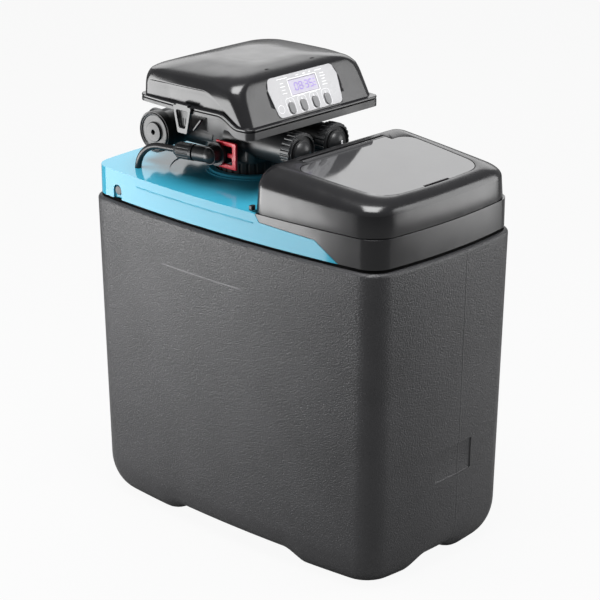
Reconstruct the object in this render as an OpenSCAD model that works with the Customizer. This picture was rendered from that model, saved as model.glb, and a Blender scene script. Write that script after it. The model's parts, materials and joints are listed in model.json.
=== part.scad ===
// Cabinet water softener: a drafted salt cabinet with a resin tank inside, a blue rear cover,
// a black front frame with a lift-off salt lid and hinged hatch, and a motor-driven control valve.
// Millimetres, +Z up, the front faces -Y, and the origin is on the floor under the cabinet's middle.

/* [Cabinet] */
// Width across the rim, at the middle of the bowed sides
cab_w = 288; // [276:1:320]
// Depth across the rim, at the middle of the bowed ends
cab_d = 500; // [480:1:540]
// Height of the rim above the floor
cab_h = 408; // [380:1:440]
// Wall of the blow-moulded shell
cab_wall = 4; // [3:0.5:6]
// How far each long side bows out between its corners
side_bow = 13; // [6:1:18]
// How far each short end bows out between its corners
end_bow = 8; // [4:1:12]
// Radius of the upright corners
corner_r = 34; // [28:1:40]
// How far each wall leans in from the rim to the floor
draft = 6.5; // [3:0.5:9]
// How far the rolled bottom edge curves in
base_round = 28; // [24:1:32]
// Height over which the bottom edge curves in
base_rise = 48; // [42:1:52]
// Radius of the rim's outer edge
rim_round = 6; // [4:0.5:8]
// Width of the flat land that the covers stand on
rim_land = 8; // [6:0.5:10]
// Height of the arches between the four feet
foot_arch = 12; // [8:1:14]
// Length of a foot along the long side, from the cabinet's end
foot_len_y = 132; // [120:1:160]
// Length of a foot along the short end, from the cabinet's side
foot_len_x = 104; // [80:1:115]

/* [Covers] */
// Inset of the covers' skirt from the cabinet's outline
cover_inset = 5; // [4:0.5:6]
// Height of the covers' skirt above the rim
skirt_h = 36; // [28:1:44]
// Wall of the moulded covers
cover_wall = 3; // [2.5:0.25:4]
// Open seam between neighbouring covers
seam = 0.5; // [0.3:0.1:0.8]
// Height of the locating lip that reaches into the cabinet's mouth
lip_h = 9; // [6:1:12]
// Width of the frame's ledge under the salt lid
frame_ledge = 15; // [10:1:20]

/* [Salt lid and hatch] */
// Height of the lid's upright wall
lid_wall_h = 25; // [18:1:30]
// Height of the lid's top above the deck at its rear edge
lid_rise = 56; // [50:1:64]
// Forward slope of the lid's top in degrees
lid_slope = 5; // [3:0.5:7]
// Depth of the rounded shoulder along the lid's sides
lid_shoulder = 22; // [16:1:26]
// Depth of the rounded shoulder along the lid's front and rear
lid_end_shoulder = 13; // [10:1:15]
// Margin between the cabinet's outline and the hatch's sides
hatch_margin = 40; // [36:1:46]
// Margin between the cabinet's front and the hatch's front edge
hatch_front_gap = 28; // [26:1:32]
// Thickness of the smoked hatch plate
hatch_t = 4; // [3:0.5:5]
// Length of the hatch's hinge barrel
hatch_barrel = 148; // [120:1:156]
// Radius of the hatch's hinge pin
hinge_pin_r = 1.5; // [1.2:0.1:1.8]

/* [Tank and brine] */
// Diameter of the resin tank
tank_d = 205; // [190:1:215]
// Wall of the resin tank
tank_wall = 4; // [3:0.5:6]
// Room behind the resin tank, in front of the cabinet's rear rim
rear_gap = 67.5; // [60:0.5:75]
// Radius of the tank's threaded neck
neck_r = 31; // [29:0.5:33]
// Radius of the riser tube
riser_r = 13.4; // [12:0.1:14]
// Outer radius of the brine well tube
well_r = 22; // [20:0.5:24]
// Travel of the brine float
float_travel = 120; // [80:5:160]
// Outer radius of the brine hose
hose_r = 4.2; // [3.5:0.1:5]

/* [Valve] */
// Radius of the valve's collar on the tank neck
collar_r = 44; // [42:0.5:46]
// Spacing of the two front bosses and of the two rear ports
port_pitch = 62; // [60:1:68]
// Height of the front bosses' axis above the deck
boss_z = 47.5; // [45:0.5:50]
// Reach of the front caps' face from the tank's axis
cap_reach = 116; // [110:1:120]
// Radius of the knurled front caps
cap_r = 24; // [22:0.5:26]
// Number of grips round a knurled cap
cap_grips = 24; // [16:2:30]
// Distance of the rear manifold behind the tank's axis
manifold_y = 94; // [92:1:97]
// Half length of the rear manifold across its end caps
manifold_half = 80; // [76:1:84]
// Height of the rear manifold's axis above the deck
manifold_rise = 43; // [41:0.5:46]
// Radius of the round end caps
end_cap_r = 26.5; // [24:0.5:28]
// Radius of the pipe connections' male thread
port_r = 13.2; // [12:0.1:16]
// Length of the pipe connections' thread
port_len = 18; // [14:1:22]
// Height of the brine port above the deck
brine_z = 33; // [31:0.5:36]

/* [Control head] */
// Width of the head across its flange
head_w = 242; // [230:1:250]
// Reach of the head in front of the tank's axis
head_front = 111; // [108:1:113]
// Reach of the head behind the tank's axis
head_rear = 85; // [80:1:88]
// Height of the base's front chin above the deck
chin_z = 77; // [75:1:80]
// How much higher the base is along its sides than at its chin
chin_step = 18; // [15:1:20]
// Height of the cover's front face above its lower edge
face_h = 54; // [50:1:58]
// Backward lean of the front face in degrees
face_lean = 26; // [20:1:30]
// Rise of the crowned top above the front face
crown = 6; // [5:1:9]
// Travel of the four buttons
button_travel = 1.2; // [0.6:0.1:1.4]
// Teeth on the drive gear
gear_teeth = 48; // [40:2:48]
// Teeth on the motor pinion
pinion_teeth = 12; // [12:1:16]
// Module of the gear teeth
gear_module = 1.25; // [1.1:0.05:1.3]

/* [Hidden] */
$fn = 48;

// Shared clearances: loose between parts that only sit together, run between a shaft and its bore
loose = 0.3;
run = 0.05;
eps = 0.01;

// Segments along the parts of a bowed outline
n_end = 4;
n_corner = 7;
n_side = 8;

// Heights and places that several pieces share
floor_z = foot_arch + cab_wall + 2;
deck_z = cab_h + skirt_h;
valve_y = cab_d / 2 - tank_d / 2 - rear_gap;
cap_face_y = valve_y - cap_reach;
lid_rear_y = cap_face_y - 14;
boss_x = port_pitch / 2;
lip_t = 5;

function ang(v) = atan2(v[1], v[0]);
function inner_r(r, k) = max(r - k, 2);
function bow_radius(half_chord, sag) = (half_chord * half_chord + sag * sag) / (2 * sag);
// Points of an arc without its last point
function arc(c, r, a0, a1, n) = [for (i = [0:n - 1])
    let (a = a0 + (a1 - a0) * i / n) c + r * [cos(a), sin(a)]];
// Right-hand meeting point of two circles
function meet(p, rp, q, rq) =
    let (d = norm(q - p), u = (q - p) / d, t = (d * d + rp * rp - rq * rq) / (2 * d))
    let (h = sqrt(max(0, rp * rp - t * t)), a = p + t * u, b = [-u[1], u[0]] * h)
    (a + b)[0] > (a - b)[0] ? a + b : a - b;

// Bowed outline with four arcs for sides and rounded corners.
// o: half width, side radius, side centre y, front y, front radius, rear y, rear radius
// r: front and rear corner radius; k: inset of sides, front and rear
function half_ring(o, r, k) =
    let (p = [o[0] - o[1], o[2]], rs = o[1] - k[0])
    let (q = [0, o[3] + o[4]], rq = o[4] - k[1], s = [0, o[5] - o[6]], rt = o[6] - k[2])
    let (cf = meet(p, rs - r[0], q, rq - r[0]), cr = meet(p, rs - r[1], s, rt - r[1]))
    concat(arc(q, rq, -90, ang(cf - q), n_end), arc(cf, r[0], ang(cf - q), ang(cf - p), n_corner),
        arc(p, rs, ang(cf - p), ang(cr - p), n_side), arc(cr, r[1], ang(cr - p), ang(cr - s), n_corner),
        arc(s, rt, ang(cr - s), 90, n_end), [[0, s[1] + rt]]);
function ring(o, r, k) =
    let (h = half_ring(o, r, k), n = len(h))
    concat(h, [for (i = [n - 2:-1:1]) [-h[i][0], h[i][1]]]);
function lift(pts, z) = [for (p = pts) [p[0], p[1], z]];

// Convex polygon with its corners rounded
function rounded(pts, r, n = 6) = [for (i = [0:len(pts) - 1]) each
    let (b = pts[i], a = pts[(i + len(pts) - 1) % len(pts)], c = pts[(i + 1) % len(pts)])
    let (u = (a - b) / norm(a - b), v = (c - b) / norm(c - b), half = acos(u * v) / 2)
    let (m = b + (u + v) / norm(u + v) * r / sin(half), t = r / tan(half))
    let (a0 = ang(b + u * t - m), turn = (ang(b + v * t - m) - a0 + 540) % 360 - 180)
    [for (j = [0:n]) m + r * [cos(a0 + turn * j / n), sin(a0 + turn * j / n)]]];

function loft_quads(n, m) = [for (i = [0:m - 1], j = [0:n - 1])
    let (a = i * n + j, b = i * n + (j + 1) % n) each [[a, a + n, b], [b, a + n, b + n]]];
// Solid through rings, closed by flat ends
module loft(rings) {
    n = len(rings[0]);
    m = len(rings);
    polyhedron(points = [for (g = rings) each g],
        faces = concat([[for (j = [0:n - 1]) j]], loft_quads(n, m - 1),
            [[for (j = [n - 1:-1:0]) (m - 1) * n + j]]));
}
// Solid through rings whose last ring joins the first
module loft_loop(rings) {
    n = len(rings[0]);
    m = len(rings);
    polyhedron(points = [for (g = rings) each g],
        faces = [for (f = loft_quads(n, m)) [for (v = f) v % (n * m)]]);
}
// Side profile in Y and Z drawn out across X
module side_prism(pts, w) {
    rotate([90, 0, 90]) linear_extrude(w, center = true) polygon(pts);
}
module along_x(r, h) {
    rotate([0, 90, 0]) cylinder(r = r, h = h);
}
module along_y(r, h) {
    rotate([-90, 0, 0]) cylinder(r = r, h = h);
}
module tube(r_out, r_in, h) {
    difference() {
        cylinder(r = r_out, h = h);
        translate([0, 0, -eps]) cylinder(r = r_in, h = h + 2 * eps);
    }
}

// Cabinet outline and its inset rings
side_r = bow_radius(cab_d / 2 - corner_r, side_bow);
end_r = bow_radius(cab_w / 2 - corner_r, end_bow);
cab_o = [cab_w / 2, side_r, 0, -cab_d / 2, end_r, cab_d / 2, end_r];
function cab_ring(k) = ring(cab_o, [inner_r(corner_r, k), inner_r(corner_r, k)], [k, k, k]);
mouth_inset = rim_round + rim_land;
base_inner = base_round - cab_wall;
inner_rise = base_rise - cab_wall;
arch_soft = 9;

module cabinet() {
    outer = concat(
        [for (a = [0:15:90]) lift(cab_ring(draft + base_round * (1 - sin(a))), base_rise * (1 - cos(a)))],
        [for (a = [0:22.5:90]) lift(cab_ring(rim_round * (1 - cos(a))), cab_h - rim_round * (1 - sin(a)))]);
    inner = concat(
        [lift(cab_ring(mouth_inset), cab_h), lift(cab_ring(mouth_inset), cab_h - lip_t)],
        [lift(cab_ring(cab_wall), cab_h - lip_t - mouth_inset)],
        [for (a = [90:-30:0])
            lift(cab_ring(draft + cab_wall + base_inner * (1 - sin(a))),
                floor_z + inner_rise * (1 - cos(a)))]);
    arch_y = cab_d / 2 - foot_len_y;
    arch_x = cab_w / 2 - foot_len_x;
    color("#4d4e51") difference() {
        loft(concat(outer, inner));
        side_prism(arch_section(arch_y), cab_w);
        rotate(90) side_prism(arch_section(arch_x), cab_d + 2);
    }
}
// Low arch with eased ends
function arch_section(half) = [[-half - arch_soft, -1], [-half - arch_soft, 0],
    [-half + arch_soft, foot_arch], [half - arch_soft, foot_arch],
    [half + arch_soft, 0], [half + arch_soft, -1]];

// Skirt wall, inner ledge and locating lip that both covers are cut from
module skirt_ring() {
    in_k = cover_inset + cover_wall;
    lip_k = mouth_inset + loose;
    lip_in = lip_k + cover_wall;
    difference() {
        union() {
            translate([0, 0, cab_h]) linear_extrude(skirt_h) polygon(cab_ring(cover_inset));
            translate([0, 0, cab_h - lip_h]) linear_extrude(lip_h + cover_wall) polygon(cab_ring(lip_k));
        }
        translate([0, 0, cab_h + cover_wall]) linear_extrude(skirt_h) polygon(cab_ring(in_k));
        translate([0, 0, cab_h - lip_h - 1]) linear_extrude(lip_h + skirt_h) polygon(cab_ring(lip_in));
    }
}
// Side view of the rear cover's share of the skirt, moved by g up and forward along the split line
split_y = lid_rear_y - 8;
arm_h = 22;
arm_y = -cab_d / 2 + 68;
function split_section(g) = [[split_y - g, deck_z + 20], [split_y - g, deck_z + g],
    [split_y - 7 - g, deck_z - 10 + g], [arm_y + 34 - g, cab_h + arm_h + g], [arm_y - g, cab_h + g],
    [arm_y - g - lip_h, cab_h - lip_h - 1 + g], [cab_d, cab_h - lip_h - 1], [cab_d, deck_z + 20]];

deck_t = 4;
well_x = -(cab_w / 2 - 44);
well_y = valve_y + 101;
stud_y = valve_y + 109;
stud_r = 6.5;
stud_z = deck_z - 25.5;
skirt_x = cab_w / 2 - stud_y * stud_y / (2 * side_r) - cover_inset;
stud_seat = skirt_x - cover_wall - 1;
module rear_cover() {
    color("#4fb4dc") difference() {
        union() {
            intersection() {
                skirt_ring();
                side_prism(split_section(0), cab_w);
            }
            intersection() {
                translate([0, 0, deck_z - deck_t]) linear_extrude(deck_t) polygon(cab_ring(cover_inset));
                translate([-cab_w, lid_rear_y + seam, 0]) cube([2 * cab_w, cab_d, deck_z]);
            }
            translate([0, valve_y, deck_z - deck_t]) cylinder(r = collar_r + 10, h = deck_t + 3);
            for (s = [-1, 1]) translate([s * (stud_seat - 1) - 2.5, stud_y - 13, cab_h + 1])
                cube([5, 26, skirt_h - 2]);
        }
        translate([0, valve_y, deck_z - deck_t - 1]) cylinder(r = collar_r + 2, h = deck_t + 6);
        translate([0, valve_y, deck_z - 1.2]) tube(tank_d / 2, collar_r + 14, 3);
        translate([well_x, well_y, deck_z - deck_t - 1]) cylinder(r = hose_r + loose, h = deck_t + 2);
        for (s = [-1, 1]) {
            translate([s * (stud_seat + 4), stud_y, 0]) side_prism(stud_notch(), 8);
            translate([s * stud_seat, stud_y, stud_z]) rotate([0, 90, 0])
                cylinder(r = stud_r - 1.5, h = 10, center = true);
        }
    }
}
function stud_notch() = concat([[stud_r + 1.5, cab_h - 1]],
    [for (a = [0:20:180]) (stud_r + 1.5) * [cos(a), sin(a)] + [0, stud_z]], [[-stud_r - 1.5, cab_h - 1]]);

module cover_studs() {
    color("#8d9194") for (s = [-1, 1])
        translate([s * stud_seat, stud_y, stud_z]) rotate([0, s * 90, 0]) {
            cylinder(r1 = stud_r, r2 = stud_r - 1, h = 2.5);
            translate([0, 0, -4]) cylinder(r = stud_r - 1.5 - run, h = 4.5);
        }
}

// Lid outline: the cabinet's front and sides, closed by a nearly straight rear wall
lid_inset = cover_inset + 1.2;
lid_rear_r = 16;
lid_o = [cab_w / 2, side_r, 0, -cab_d / 2, end_r, lid_rear_y, 6000];
function lid_ring(ks, kf, kr) =
    ring(lid_o, [inner_r(corner_r, ks), max(lid_rear_r - kr * 0.5, 4)], [ks, kf, kr]);
hatch_plate_y = lid_rear_y - 36;
hatch_o = [cab_w / 2, side_r, 0, -cab_d / 2 + hatch_front_gap, end_r, hatch_plate_y, 3000];
function hatch_ring(grow) =
    ring(hatch_o, [34 + grow, 18 + grow], [hatch_margin - grow, -grow, -grow]);
function lid_top(y) = deck_z + lid_rise + tan(lid_slope) * (y - lid_rear_y);
function under_top(pts, d) = [for (p = pts) [p[0], p[1], lid_top(p[1]) - d]];
lid_z = deck_z + seam;
shoulder_z = lid_z + lid_wall_h;
hatch_seat = hatch_t + 0.6;
lid_rim = 10.5;
axis_y = hatch_plate_y + 10.5;
axis_drop = hatch_t - 0.8;
barrel_r = axis_drop + 0.4;
axis_z = lid_top(axis_y) - axis_drop;

// Shoulder ring of the lid at angle a, for a wall inset by w
function shoulder(a, w) =
    let (g = lid_ring(lid_inset + 1.5 + w + lid_shoulder * (1 - cos(a)),
        lid_inset + 1.5 + w + lid_end_shoulder * (1 - cos(a)), 1.5 + w + lid_end_shoulder * (1 - cos(a))))
    [for (p = g) [p[0], p[1], shoulder_z + (lid_top(p[1]) - w - shoulder_z) * sin(a)]];

// Ledge that the lid stands on, its outer edge inset by k
ledge_t = 5;
module ledge(k) {
    in_k = cover_inset + frame_ledge;
    translate([0, 0, deck_z - ledge_t]) linear_extrude(ledge_t) difference() {
        polygon(lid_ring(k, k, 0));
        polygon(lid_ring(in_k, in_k, frame_ledge));
    }
}
module top_frame() {
    color("#1b1c1e") union() {
        difference() {
            union() {
                skirt_ring();
                ledge(cover_inset + 1);
            }
            side_prism(split_section(seam), cab_w + 2);
            translate([-cab_w, split_y, 0]) cube([2 * cab_w, cab_d, 2 * deck_z]);
        }
        ledge(cover_inset + cover_wall + seam);
    }
}

module salt_lid() {
    w = cover_wall;
    lug_y = hatch_plate_y + 0.6;
    color("#141517") difference() {
        union() {
            loft_loop(concat([lift(lid_ring(lid_inset, lid_inset, 0), lid_z)],
                [for (a = [0:22.5:90]) shoulder(a, 0)],
                [under_top(hatch_ring(0.6), 0), under_top(hatch_ring(0.6), hatch_seat)],
                [under_top(hatch_ring(-7), hatch_seat), under_top(hatch_ring(-7), lid_rim)],
                [under_top(hatch_ring(2.6), lid_rim), under_top(hatch_ring(2.6), w)],
                [for (a = [90:-30:0]) shoulder(a, w)],
                [lift(lid_ring(lid_inset + w, lid_inset + w, w), lid_z)]));
            intersection() {
                translate([-hatch_barrel / 2 - 12, lug_y, axis_z - 7.5]) cube([hatch_barrel + 24, 17, 9.5]);
                translate([0, 0, lid_z]) linear_extrude(lid_rise)
                    polygon(lid_ring(lid_inset + 4, lid_inset + 4, 4));
            }
        }
        translate([-hatch_barrel / 2 - 1, axis_y - 13, axis_z - barrel_r - 0.8])
            cube([hatch_barrel + 2, 18.4, 2 * barrel_r + 4]);
        translate([-hatch_barrel / 2 - 9, axis_y, axis_z])
            along_x(hinge_pin_r + run / 2, hatch_barrel + 18);
    }
}

module hatch_pin() {
    color("#b9bcc0") translate([-hatch_barrel / 2 - 8.5, axis_y, axis_z])
        along_x(hinge_pin_r, hatch_barrel + 17);
}

module salt_hatch() {
    notch_w = 44;
    color("#2b2d30") translate([0, axis_y, axis_z]) rotate([lid_slope, 0, 0]) difference() {
        union() {
            translate([0, -axis_y, axis_drop - hatch_t]) linear_extrude(hatch_t) polygon(hatch_ring(0));
            translate([-hatch_barrel / 2, -13, axis_drop - hatch_t]) cube([hatch_barrel, 13, hatch_t]);
            translate([-hatch_barrel / 2, 0, 0]) along_x(barrel_r, hatch_barrel);
        }
        translate([-hatch_barrel / 2 - 1, 0, 0]) along_x(hinge_pin_r + run, hatch_barrel + 2);
        translate([-notch_w / 2, -cab_d / 2 + hatch_front_gap - axis_y - 1, -hatch_t])
            cube([notch_w, 5, 3 * hatch_t]);
    }
}

// Resin tank: domed pressure vessel on the cabinet's floor, its neck up in the valve's collar
tank_r = tank_d / 2;
neck_top = deck_z + 12;
dome_h = tank_r * 0.62;
tank_top = deck_z - deck_t - 6;
function dome(r, h, z, up, n = 8) = [for (i = [0:n]) let (a = 90 * i / n)
    up ? [r * cos(a), z + h * sin(a)] : [r * sin(a), z - h * cos(a)]];
neck_bore = neck_r - 6;
module resin_tank() {
    z0 = floor_z + loose;
    foot_r = tank_r * 0.72;
    color("#3a4a5c") difference() {
        union() {
            translate([0, valve_y, 0]) rotate_extrude() polygon(concat([[0, z0 + dome_h]],
                dome(tank_r, dome_h, z0 + dome_h, false), dome(tank_r, dome_h, tank_top - dome_h, true)));
            translate([0, valve_y, tank_top - 12]) cylinder(r = neck_r, h = neck_top - tank_top + 12);
            translate([0, valve_y, z0]) tube(foot_r, foot_r - 5, dome_h * 0.5);
        }
        translate([0, valve_y, 0]) rotate_extrude() polygon(concat([[0, z0 + dome_h]],
            dome(tank_r - tank_wall, dome_h - tank_wall, z0 + dome_h, false),
            dome(tank_r - tank_wall, dome_h - tank_wall, tank_top - dome_h, true)));
        translate([0, valve_y, tank_top - 30]) cylinder(r = neck_bore, h = neck_top);
    }
}

basket_z = floor_z + loose + tank_wall + 2;
basket_h = 40;
riser_low = basket_z + basket_h + 1;
riser_top = neck_top + 6;
module riser_tube() {
    color("#d8dadc") translate([0, valve_y, riser_low]) tube(riser_r, riser_r - 2.2, riser_top - riser_low);
}
// Slotted strainer: a tube with upright slots all round
module strainer(r, wall, h, slots) {
    difference() {
        cylinder(r = r, h = h);
        translate([0, 0, -eps]) cylinder(r = r - wall, h = h + 1);
        for (i = [0:slots - 1]) rotate(360 * i / slots) translate([r - wall - 1, -0.8, h * 0.2])
            cube([wall + 2, 1.6, h * 0.6]);
    }
}
module lower_basket() {
    color("#c9ccce") translate([0, valve_y, basket_z]) {
        strainer(riser_r + 9, 2.5, basket_h, 16);
        cylinder(r = riser_r + 9, h = 3);
        translate([0, 0, basket_h]) tube(riser_r + 9, riser_r + run, 4);
    }
}
module upper_basket() {
    color("#c9ccce") translate([0, valve_y, neck_top - 46]) {
        translate([0, 0, 3]) strainer(neck_bore - 2, 2, 43, 16);
        tube(neck_bore - 2, riser_r + run, 3);
        translate([0, 0, 46]) tube(neck_bore + 1.2, neck_bore - 4, 2);
    }
}
socket_z = neck_top + 4.2;
module neck_seal() {
    color("#202020") translate([0, valve_y, neck_top + 2.1]) rotate_extrude() translate([neck_r - 2.4, 0])
        circle(r = 2);
}

// Brine well in the rear corner, with its valve, float and hose
well_z = floor_z + inner_rise;
well_top = cab_h - 20;
valve_top = well_z + 40;
hose_seat = 12;
float_h = 48;
float_cone = 6;
well_foot_r = 5;
foot_lift = 2.5;
module brine_well() {
    wall = 2.5;
    color("#d5d8da") translate([well_x, well_y, 0]) {
        translate([0, 0, valve_top + loose + float_h + float_travel])
            tube(well_r - wall + eps, well_r - 8, 2);
        translate([0, 0, floor_z + foot_lift])
            tube(well_foot_r, well_foot_r - wall, well_z - floor_z + 3 - foot_lift);
        difference() {
            translate([0, 0, well_z]) cylinder(r = well_r, h = well_top - well_z);
            translate([0, 0, well_z + 3]) cylinder(r = well_r - wall, h = well_top);
            for (i = [0:7], z = [10, 32]) rotate(45 * i) translate([0, -1.25, well_z + z])
                cube([well_r + 1, 2.5, 16]);
        }
    }
}
module well_cap() {
    color("#e4e6e7") translate([well_x, well_y, well_top]) difference() {
        union() {
            cylinder(r = well_r + 1.5, h = 4);
            translate([0, 0, -8]) tube(well_r - 2.5 - run, well_r - 5, 8.5);
        }
        translate([0, 0, -1]) cylinder(r = hose_r + run, h = 6);
    }
}
module brine_valve() {
    color("#3c4043") translate([well_x, well_y, well_z + 3]) difference() {
        union() {
            cylinder(r = well_r - 3, h = 5);
            cylinder(r = hose_r + 5, h = valve_top - well_z - 3);
        }
        translate([0, 0, hose_seat]) cylinder(r = hose_r + run, h = valve_top);
    }
}
module brine_float() {
    color("#f0f0ee") translate([well_x, well_y, valve_top + loose]) difference() {
        union() {
            cylinder(r = well_r - 4.5, h = float_h - float_cone);
            translate([0, 0, float_h - float_cone])
                cylinder(r1 = well_r - 4.5, r2 = hose_r + 3, h = float_cone);
        }
        translate([0, 0, -1]) cylinder(r = hose_r + loose, h = float_h + 2);
    }
}

// Brine elbow: the port faces -X, and the outlet turns towards the hose's hole in the deck
port_z = deck_z + brine_z;
port_y = valve_y - 8;
body_w = 96;
boss_end = -body_w / 2 - 13.5;
elbow_x = boss_end - 18.5;
elbow_r = 11;
hose_run = norm([well_x - elbow_x, well_y - port_y]);
hose_yaw = atan2(elbow_x - well_x, well_y - port_y);
hose_bend = port_z - deck_z + 1;
nut_from = 24;
nut_len = 28;
module at_elbow() {
    translate([elbow_x, port_y, port_z]) rotate(hose_yaw) children();
}
// Hose ring round a point of its route, where the route has turned down by the angle a
hose_sides = 12;
function hose_ring(y, z, a) = [for (i = [0:hose_sides - 1]) let (t = 360 * i / hose_sides)
    [0, y, z] + hose_r * [cos(t), -sin(t) * sin(a), -sin(t) * cos(a)]];
// Hose: out of the nut, over one bend and straight down through the float into the brine valve
module brine_hose() {
    low = well_z + 3 + hose_seat + loose;
    bend_y = hose_run - hose_bend;
    color("#101112") at_elbow() loft(concat([hose_ring(nut_from + 9, 0, 0)],
        [for (a = [0:10:90]) hose_ring(bend_y + hose_bend * sin(a), hose_bend * (cos(a) - 1), a)],
        [hose_ring(hose_run, low - port_z, 90)]));
}
module brine_elbow() {
    color("#17181a") {
        difference() {
            union() {
                translate([boss_end - 22, port_y, port_z]) along_x(elbow_r, 29.5);
                translate([boss_end - 10.5, port_y, port_z]) along_x(elbow_r + 4, 3.5);
                translate([elbow_x, port_y, port_z]) sphere(r = elbow_r);
                at_elbow() along_y(10, 22);
                at_elbow() along_y(7, 32);
            }
            at_elbow() translate([0, 6, 0]) along_y(3.5, 40);
        }
    }
}
module brine_nut() {
    grips = 12;
    color("#1d1e20") at_elbow() translate([0, nut_from, 0]) rotate([-90, 0, 0]) difference() {
        union() {
            cylinder(r = 10.5, h = nut_len - 6);
            translate([0, 0, nut_len - 6]) cylinder(r1 = 10.5, r2 = hose_r + 2.5, h = 6);
        }
        translate([0, 0, -1]) cylinder(r = 7 + run, h = 9.5);
        translate([0, 0, -1]) cylinder(r = hose_r + run, h = nut_len + 2);
        for (i = [0:grips - 1]) rotate(360 * i / grips) translate([11.2, 0, 4])
            cylinder(r = 1.4, h = nut_len);
    }
}
clip_x = boss_end - 3.5;
module brine_clip() {
    t = 3.6;
    gap = elbow_r + 0.5;
    bar = 5.5;
    spine = 7;
    reach = 34;
    spine_y = port_y - 30;
    color("#e0263a") translate([clip_x - t / 2, 0, port_z]) {
        translate([0, spine_y, -gap - bar]) cube([t, spine, 2 * (gap + bar)]);
        for (z = [gap, -gap - bar]) translate([0, spine_y, z]) cube([t, reach, bar]);
        translate([0, spine_y, -bar / 2]) cube([t, spine + 8, bar]);
    }
}

// Valve body: collar, column and cast bosses on the tank's axis
head_z = deck_z + chin_z;
side_z = head_z + chin_step;
bore_r = 17;
bore_z = socket_z + 12;
cap_back = 16;
collar_h = 20;
stem_bore = 12;
body_h = 52;
drain_x = body_w / 2 + 10;
module valve_body() {
    flutes = 28;
    color("#1a1b1d") difference() {
        union() {
            translate([0, valve_y, deck_z + loose]) cylinder(r = collar_r, h = collar_h);
            translate([0, valve_y, deck_z + collar_h])
                cylinder(r = collar_r - 4, h = side_z - deck_z - collar_h);
            translate([0, valve_y - 4, deck_z + collar_h + 2]) linear_extrude(body_h) polygon(rounded(
                [[-body_w / 2, -44], [body_w / 2, -44], [body_w / 2, 44], [-body_w / 2, 44]], 12));
            for (s = [-1, 1]) translate([s * boss_x, cap_face_y + cap_back, deck_z + boss_z])
                along_y(cap_r - 4, cap_reach - cap_back);
            translate([boss_end, port_y, port_z]) along_x(elbow_r + 4, 30);
            translate([0, port_y, port_z + 6]) along_x(12, drain_x);
            for (s = [-1, 1]) translate([s * boss_x, valve_y + 20, manifold_z])
                along_y(rear_boss_r, neck_y - valve_y - 20);
        }
        translate([0, valve_y, deck_z - 1]) cylinder(r = neck_r + 0.2, h = socket_z - deck_z + 1);
        translate([0, valve_y, deck_z]) cylinder(r = riser_r + run, h = riser_top + loose - deck_z);
        translate([0, valve_y, bore_z]) cylinder(r = bore_r, h = side_z);
        for (i = [0:flutes - 1]) rotate_about(360 * i / flutes) translate([collar_r + 1, 0, deck_z])
            cylinder(r = 2.4, h = 16);
        for (s = [-1, 1]) translate([s * boss_x, cap_face_y + cap_back - 1, deck_z + boss_z])
            along_y(stem_bore, 30);
        head_screw_places() translate([0, 0, side_z - screw_len - 1])
            cylinder(r = head_screw_r + run, h = 40);
        translate([boss_end - 1, port_y, port_z]) along_x(elbow_r + run, 9);
    }
}
module rotate_about(a) {
    translate([0, valve_y, 0]) rotate(a) children();
}
module seal_cage() {
    h = side_z - bore_z - 1;
    color("#e8e4d8") translate([0, valve_y, bore_z]) difference() {
        tube(bore_r - run, 12, h);
        for (i = [0:3], z = [10:16:h - 12]) rotate(90 * i) translate([0, -3, z]) cube([bore_r + 1, 6, 8]);
    }
}
piston_stroke = 20;
piston_h = 40;
piston_z = side_z - 2 - piston_stroke - piston_h;
gear_z = side_z + 22;
gear_h = 8;
screw_r = 6;
module piston() {
    color("#b7a98a") translate([0, valve_y, piston_z]) {
        cylinder(r = screw_r, h = gear_z + gear_h / 4 - piston_z);
        for (z = [0, 16, 32]) translate([0, 0, z]) cylinder(r = 12 - run, h = 8);
    }
}
module injector() {
    color("#d9c25a") translate([-boss_x, cap_face_y + cap_back + 2, deck_z + boss_z]) difference() {
        along_y(stem_bore - run, 26);
        translate([0, -1, 0]) along_y(2, 30);
        translate([0, 8, 0]) rotate([90, 0, 0]) tube(14, 9, 6);
    }
}
// Knurled cap with a domed middle, its axis along Y and its face towards -Y
module knurled_cap() {
    rotate([90, 0, 0]) difference() {
        union() {
            cylinder(r = cap_r, h = cap_back - 2);
            cylinder(r = cap_r - 3, h = cap_back);
            translate([0, 0, cap_back]) cylinder(r1 = 14, r2 = 11, h = 3);
            translate([0, 0, cap_back - 8]) intersection() {
                sphere(r = 16);
                cylinder(r = 14, h = 20);
            }
        }
        for (i = [0:cap_grips - 1]) rotate(360 * i / cap_grips) translate([cap_r + 0.6, 0, -1])
            cylinder(r = 1.7, h = cap_back + 2);
        translate([0, 0, cap_back - 2.5]) tube(cap_r - 4, 16, 4);
    }
}
module injector_cap() {
    color("#1b1c1e") translate([-boss_x, cap_face_y + cap_back - loose, deck_z + boss_z]) knurled_cap();
}
module blend_dial() {
    color("#1b1c1e") translate([boss_x, cap_face_y + cap_back - loose, deck_z + boss_z]) {
        knurled_cap();
        translate([0, -1, 0]) along_y(stem_bore - run, 24);
    }
}

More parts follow.
